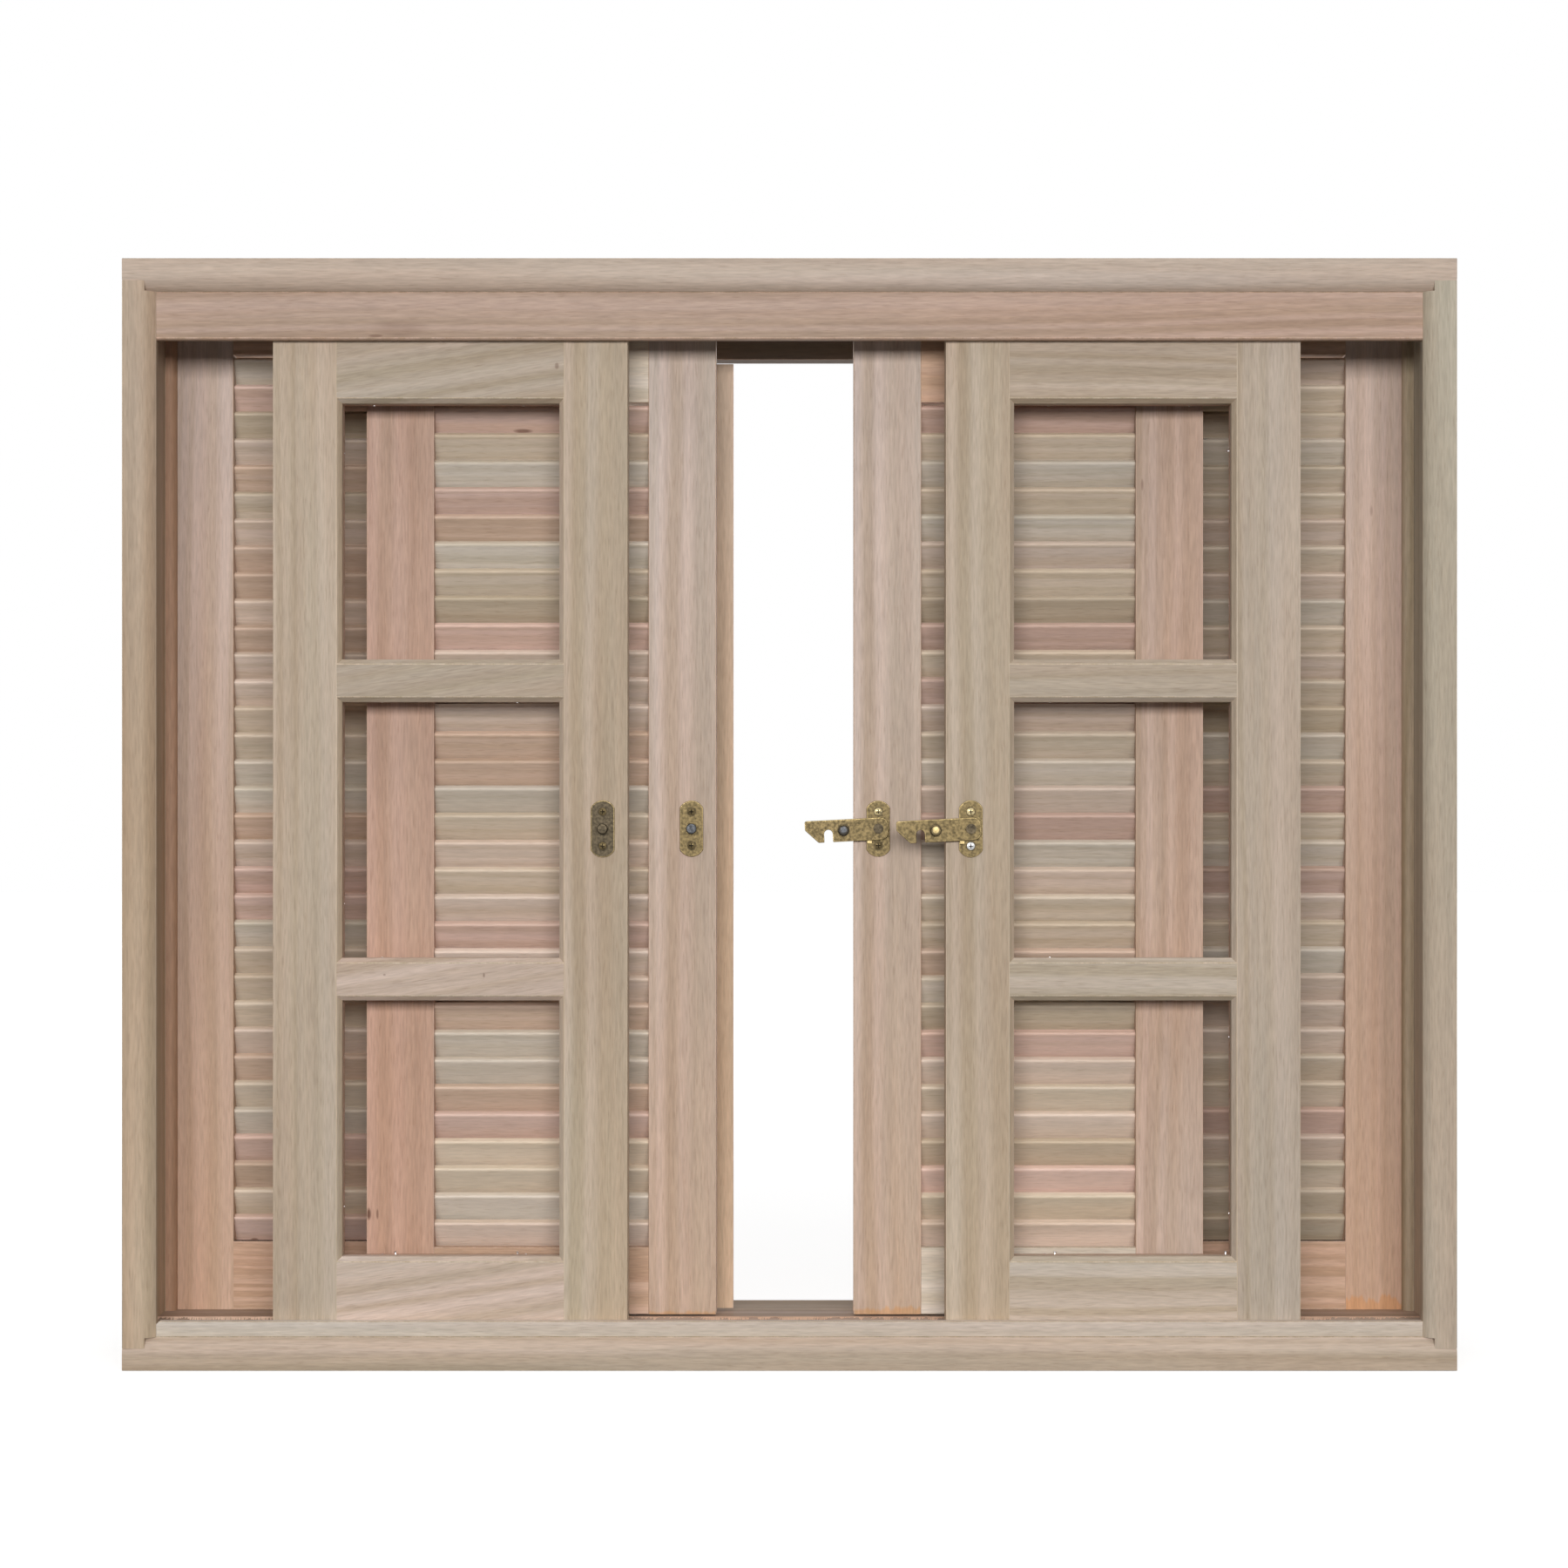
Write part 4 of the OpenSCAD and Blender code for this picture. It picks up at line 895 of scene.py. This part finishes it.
def clear_of(axes, reach):
    """A test for edges away from some axes that run front to back."""
    def test(group, first, second):
        answer = 1.0
        for x, z in axes:
            far = from_axis(group, first, x, z)
            answer = times(group, answer, calc(group, "GREATER_THAN", far, reach))
        return answer
    return test


def rimmed(name, tones, rings, width, *tests):
    """Gives a fitting its metal, with rings of painted shade and a rubbed rim."""
    wear(name, metal(name + "_metal", *tones, rings=rings))
    nodes[name].data.materials.append(rubbed_brass)
    soften(nodes[name], width, arris_marks(name + "_rim", *tests))


print("a rim is rubbed to", RUBBED[1])

# %% [markdown]
# Keepers and hook plates come first. Each has a screw above and one below its middle, with a ring
# of painted shade about them. The keeper of the left sash has stayed darkest. Rings painted by hand
# would miss the holes, so they take their places from the plate's own box.

# %% Plates of the latches
PLATES = {
    "left_sash_keeper": BRONZE, "right_sash_hook_plate": BRASS,
    "left_shutter_keeper": BRASS, "right_shutter_hook_plate": BRASS,
}
LATCH_Z = 0.487
PLATE_W, PLATE_RIM = 0.0215, 0.0007
SCREW_RISE, SCREW_R, SCREW_CLEAR = 0.0155, 0.0035, 0.0092
# Width of the ring of painted shade round a screw's head.
SCREW_SHADE_W = 0.001
STOP_SIDE, STOP_DROP, STOP_CLEAR = 0.0080, 0.0120, 0.0030


def plate_axis(name):
    """The x of a plate's screws."""
    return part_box(name)[1].x - PLATE_W / 2


for name, tones in PLATES.items():
    axis = plate_axis(name)
    screws = [(axis, LATCH_Z - SCREW_RISE), (axis, LATCH_Z + SCREW_RISE)]
    rings = [(*screw, SCREW_R, SCREW_R + SCREW_SHADE_W) for screw in screws]
    stop = (axis - STOP_SIDE, LATCH_Z - STOP_DROP)
    away_from_holes = clear_of([*screws, (axis, LATCH_Z)], SCREW_CLEAR)
    rimmed(name, tones, rings, PLATE_RIM, away_from_holes, clear_of([stop], STOP_CLEAR))
print(len(PLATES), "plates")

# %% [markdown]
# Then the hooks, and the small parts on the plates: knobs, rivets, stops, studs and screws. Fingers
# keep a knob bright on the sash, while the shutter's is blued steel. The screws' slots, which lie
# level with the plate, get a near-black metal as painted shade.

# %% Hooks, knobs, rivets and screws
ARM_FRONT = {"sash": -0.0588, "shutter": -0.0208}
PLATE_FRONT = {"sash": -0.0548, "shutter": -0.0168}
KNOB_TONES = {"sash": RUBBED, "shutter": BLUED}
KNOB_X, KNOB_DROP, KNOB_CLEAR = 0.032, 0.0011, 0.0060
# Radii of the rings of painted shade round a knob's foot and on its face.
KNOB_FOOT = 0.0046, 0.0058
KNOB_FACE = 0.0028, 0.0060
HOOK_RIM = 0.0008
RIVET_R = 0.005
STOP_PROUD, STUD_PROUD = 0.0005, 0.0004
BELOW_GEAR_Z = 0.6
LEVEL = 0.00002
for leaf, front in PLATE_FRONT.items():
    hook, plate = f"right_{leaf}_hook", f"right_{leaf}_hook_plate"
    axis = plate_axis(plate)
    knob = (axis - KNOB_X, LATCH_Z - KNOB_DROP)
    # Painted shade: rings round the knob's foot on the arm and on the knob's face.
    rimmed(hook, BRASS, [(*knob, *KNOB_FOOT)], HOOK_RIM, clear_of([(axis, LATCH_Z), knob], KNOB_CLEAR))
    knob_shade = [(*knob, *KNOB_FACE)]
    knob_metal = metal(hook + "_knob_metal", *KNOB_TONES[leaf], rough=RUBBED_GLOSS, rings=knob_shade)
    part_of(hook, knob_metal, lambda at: at.y < ARM_FRONT[leaf])
    part_of(plate, bronze, lambda at: at.y < ARM_FRONT[leaf] and at.z > LATCH_Z - RIVET_R)
    part_of(plate, rubbed_brass, lambda at: at.y < front - STOP_PROUD and at.z < LATCH_Z - RIVET_R)
    part_of(f"left_{leaf}_screws", brass, lambda at: at.z < BELOW_GEAR_Z)
    part_of(f"right_{leaf}_screws", bright_brass, lambda at: LATCH_Z < at.z < BELOW_GEAR_Z)
    if leaf == "shutter":
        part_of("right_shutter_screws", brass, lambda at: at.z < LATCH_Z)
        part_of("left_shutter_keeper", blued_steel, lambda at: at.y < front - STUD_PROUD)
    for side in ("left", "right"):
        slots = part_of(f"{side}_{leaf}_screws", slot_shade,
                        lambda at: at.z < BELOW_GEAR_Z and abs(at.y - front) < LEVEL)
        print(side, leaf, slots, "faces with grime")

# %% [markdown]
# ## Dark flats
# Behind the front edge of a fixed panel's bottom rail lies a narrow flat, under the lowest slat.
# From the room it shows as a thin dark line of shade. A shadow alone stays too pale, so the shade
# is painted: the flat gets a near-black wood. The faces of the flat are found by their height and
# get a finish of their own.

# %% Painted shade under the lowest slats
FLAT_Z = 0.1025
PAINTED_SHADE_SEED = 63
# Painted shade: a near-black tone that stands in for the shadow under the lowest slat.
TONES["dusty"] = (44, 36, 30)
dusty_wood = wood("dusty_wood", "dusty", "level", Vector(), PAINTED_SHADE_SEED)
for side in ("left", "right"):
    dusty = part_of(f"{side}_fixed_rails", dusty_wood, lambda at: abs(at.z - FLAT_Z) < LEVEL)
    print(side, dusty, "dusty faces")

# %% [markdown]
# ## Brads
# The sashes wait for their glass, and their glazing beads are pinned with thin brads. A brad is a
# turned shape, so its outline is spun round its axis. A plain pin would do from afar, but it
# is the head that catches the light.

# %% Shape of a brad
BRAD_L, BRAD_R, BRAD_HEAD_R = 0.015, 0.00055, 0.0011
BRAD_POINT_L = 0.002


def spun(shape, outline, place, steps=12):
    """Adds an outline of (radius, height), spun round its axis, to a mesh in the making."""
    rings = []
    for radius, height in outline:
        turn = [Vector((radius * math.cos(a), radius * math.sin(a), height))
                for a in (2 * math.pi * i / steps for i in range(steps))]
        rings.append([shape.verts.new(place @ point) for point in turn])
    for lower, upper in zip(rings, rings[1:]):
        for i in range(steps):
            j = (i + 1) % steps
            shape.faces.new((lower[i], lower[j], upper[j], upper[i]))
    shape.faces.new(reversed(rings[0]))
    shape.faces.new(rings[-1])


def brad_outline(stands, broad=1.0):
    """A brad with its shank below and its head stands metres above the wood."""
    outline = [
        (0.0001, -BRAD_L), (BRAD_R, BRAD_POINT_L - BRAD_L), (BRAD_R, -0.0012),
        (0.0010, -0.0008), (BRAD_HEAD_R, -0.0003), (0.0008, 0), (0.0002, 0.0001),
    ]
    return [(broad * radius, stands + height) for radius, height in outline]


def finished(name, shape, body, finish):
    """Turns a mesh in the making into a piece that rides on a body."""
    bmesh.ops.recalc_face_normals(shape, faces=shape.faces[:])
    mesh = bpy.data.meshes.new(name)
    shape.to_mesh(mesh)
    shape.free()
    mesh.materials.append(finish)
    piece = bpy.data.objects.new(name, mesh)
    bpy.context.collection.objects.link(piece)
    use_group(piece, shaded)
    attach(piece, body)


print("a brad is", BRAD_L * 1000, "mm long and its head", BRAD_HEAD_R * 2000, "mm wide")

# %% [markdown]
# Most brads are driven home, two to a bead, and a few are left standing for the glazier to pull.
# A neat row would look like a machine's work, so each is a little askew and out of place. The dice
# are seeded, so that the same brads lean the same way in every run.

# %% Pins for the glazing beads
random.seed(11)
LIGHT_FEET = (0.0995, 0.3700, 0.6405)
LIGHT_H = 0.232
LIGHT_SIDES = {"left_sash": (-0.4055, -0.2085), "right_sash": (0.2035, 0.4005)}
BEAD_Y = -0.0335
BEAD_SET_IN = 0.0005
BEAD_SHARES = (0.18, 0.82)
OUT_OF_PLACE = 0.01
DRIVEN = brad_outline(0.0007)
LEFT_STANDING = brad_outline(0.0027, 1.35)
STANDING = {
    "left_sash": [(-0.3592, 0, "foot"), (-0.2480, 0, "foot")],
    "right_sash": [(0.2419, 0, "foot"), (0.3975, 0, "foot"), (0.8315, 2, "right")],
}


def brad_place(x, z, out):
    """A brad's place on a bead: out is the way from the bead into the light."""
    tilt = Vector((random.uniform(-0.16, 0.16), random.uniform(0.05, 0.3), random.uniform(-0.16, 0.16)))
    turn = (Vector(out) + tilt).to_track_quat("Z", "Y").to_matrix().to_4x4()
    return Matrix.Translation((x, BEAD_Y, z)) @ turn


for sash, (left, right) in LIGHT_SIDES.items():
    shape = bmesh.new()
    for foot in LIGHT_FEET:
        for share in BEAD_SHARES:
            x = left + share * (right - left) + random.uniform(-OUT_OF_PLACE, OUT_OF_PLACE)
            z = foot + share * LIGHT_H + random.uniform(-OUT_OF_PLACE, OUT_OF_PLACE)
            spun(shape, DRIVEN, brad_place(x, foot - BEAD_SET_IN, (0, 0, 1)))
            spun(shape, DRIVEN, brad_place(x, foot + LIGHT_H + BEAD_SET_IN, (0, 0, -1)))
            spun(shape, DRIVEN, brad_place(left - BEAD_SET_IN, z, (1, 0, 0)))
            spun(shape, DRIVEN, brad_place(right + BEAD_SET_IN, z, (-1, 0, 0)))
    for where, light_number, side in STANDING[sash]:
        if side == "foot":
            place = brad_place(where, LIGHT_FEET[light_number] - BEAD_SET_IN, (0, 0, 1))
        else:
            place = brad_place(right + BEAD_SET_IN, where, (-1, 0, 0))
        spun(shape, LEFT_STANDING, place)
    finished(sash + "_brads", shape, sash, new_steel)
    driven = 4 * len(LIGHT_FEET) * len(BEAD_SHARES)
    print(sash, driven, "brads driven and", len(STANDING[sash]), "left standing")

# %% [markdown]
# ## Corner nails
# Head and sill are nailed to the jambs' ends, three nails to a corner. Only their heads show, on
# the outer faces, a hair proud of the wood. Painted dots would vanish at a low angle. The same
# spun shape serves, with a wider head.

# %% Nails in head and sill
NAIL_PROUD = 0.0003
NAIL_SHANK_R, NAIL_HEAD_R = 0.0013, 0.0029
NAIL_X = (-0.590, 0.590)
NAIL_Y = (-0.045, 0.004, 0.052)
FRAME_TOP, FRAME_FOOT = 1.0, 0.0
NAIL = [
    (NAIL_SHANK_R, NAIL_PROUD - 0.02), (NAIL_SHANK_R, NAIL_PROUD - 0.0012),
    (NAIL_HEAD_R, NAIL_PROUD - 0.0009), (NAIL_HEAD_R, NAIL_PROUD - 0.0002),
    (0.0024, NAIL_PROUD), (0.0003, NAIL_PROUD),
]
shape = bmesh.new()
for x in NAIL_X:
    for y in NAIL_Y:
        shift = random.uniform(-0.003, 0.003)
        spun(shape, NAIL, Matrix.Translation((x + shift, y + shift, FRAME_TOP)))
        turned = Matrix.Translation((x - shift, y - shift, FRAME_FOOT)) @ Matrix.Rotation(math.pi, 4, "X")
        spun(shape, NAIL, turned)
finished("frame_nails", shape, "frame", zinc)
print(2 * len(NAIL_X) * len(NAIL_Y), "nails in the frame's corners")

# %% [markdown]
# ## The torn edge
# The board under the shutters was ripped by a blunt saw: its front edge is a fringe of torn
# fibres. Bump can't break an outline, so the fringe is real: a ribbon of narrow splinters. Each
# starts from its neighbour's length, so that a tear runs on for a while as it does in wood.

# %% Splinters along the board
SPLINTER_W = 0.0016
ROOT_IN = 0.0004
SHORTEST, LONGEST = 0.0008, 0.0052
LEAST_LIFT, MOST_LIFT = 0.0002, 0.0011
TORN_SEED = 91
low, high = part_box("track_board")
root_y = low.y + ROOT_IN
shape = bmesh.new()
steps = int((high.x - low.x) / SPLINTER_W)
drop, lift = 0.002, 0.0005
for i in range(steps):
    x0 = low.x + i * SPLINTER_W
    x1 = x0 + SPLINTER_W * random.uniform(0.75, 1.0)
    drop = min(max(drop + random.uniform(-0.0016, 0.0016), SHORTEST), LONGEST)
    lift = min(max(lift + random.uniform(-0.0003, 0.0003), LEAST_LIFT), MOST_LIFT)
    slant = random.uniform(-0.0012, 0.0012)
    t0, t1 = x0 + slant, x1 + slant
    roots = [(x0, root_y, high.z), (x1, root_y, high.z)]
    brow = [(x0, low.y - lift, high.z - 0.0003), (x1, low.y - lift * 0.8, high.z - 0.0004)]
    tips = [(t0, low.y - lift * 0.7, high.z - drop), (t1, low.y - lift * 0.4, high.z - drop * 0.8)]
    inner = [(t0, root_y, high.z - drop * 0.9), (t1, root_y, high.z - drop * 0.7)]
    rows = [[shape.verts.new(p) for p in row] for row in (roots, brow, tips, inner)]
    for upper, lower in zip(rows, rows[1:] + rows[:1]):
        shape.faces.new((upper[0], upper[1], lower[1], lower[0]))
    shape.faces.new([row[0] for row in rows])
    shape.faces.new([row[1] for row in reversed(rows)])
TONES["torn"] = (226, 194, 174)
torn_wood = wood("torn_wood", "torn", "level", (low + high) / 2, TORN_SEED)
finished("track_board_torn_edge", shape, "frame", torn_wood)
print(steps, "splinters")
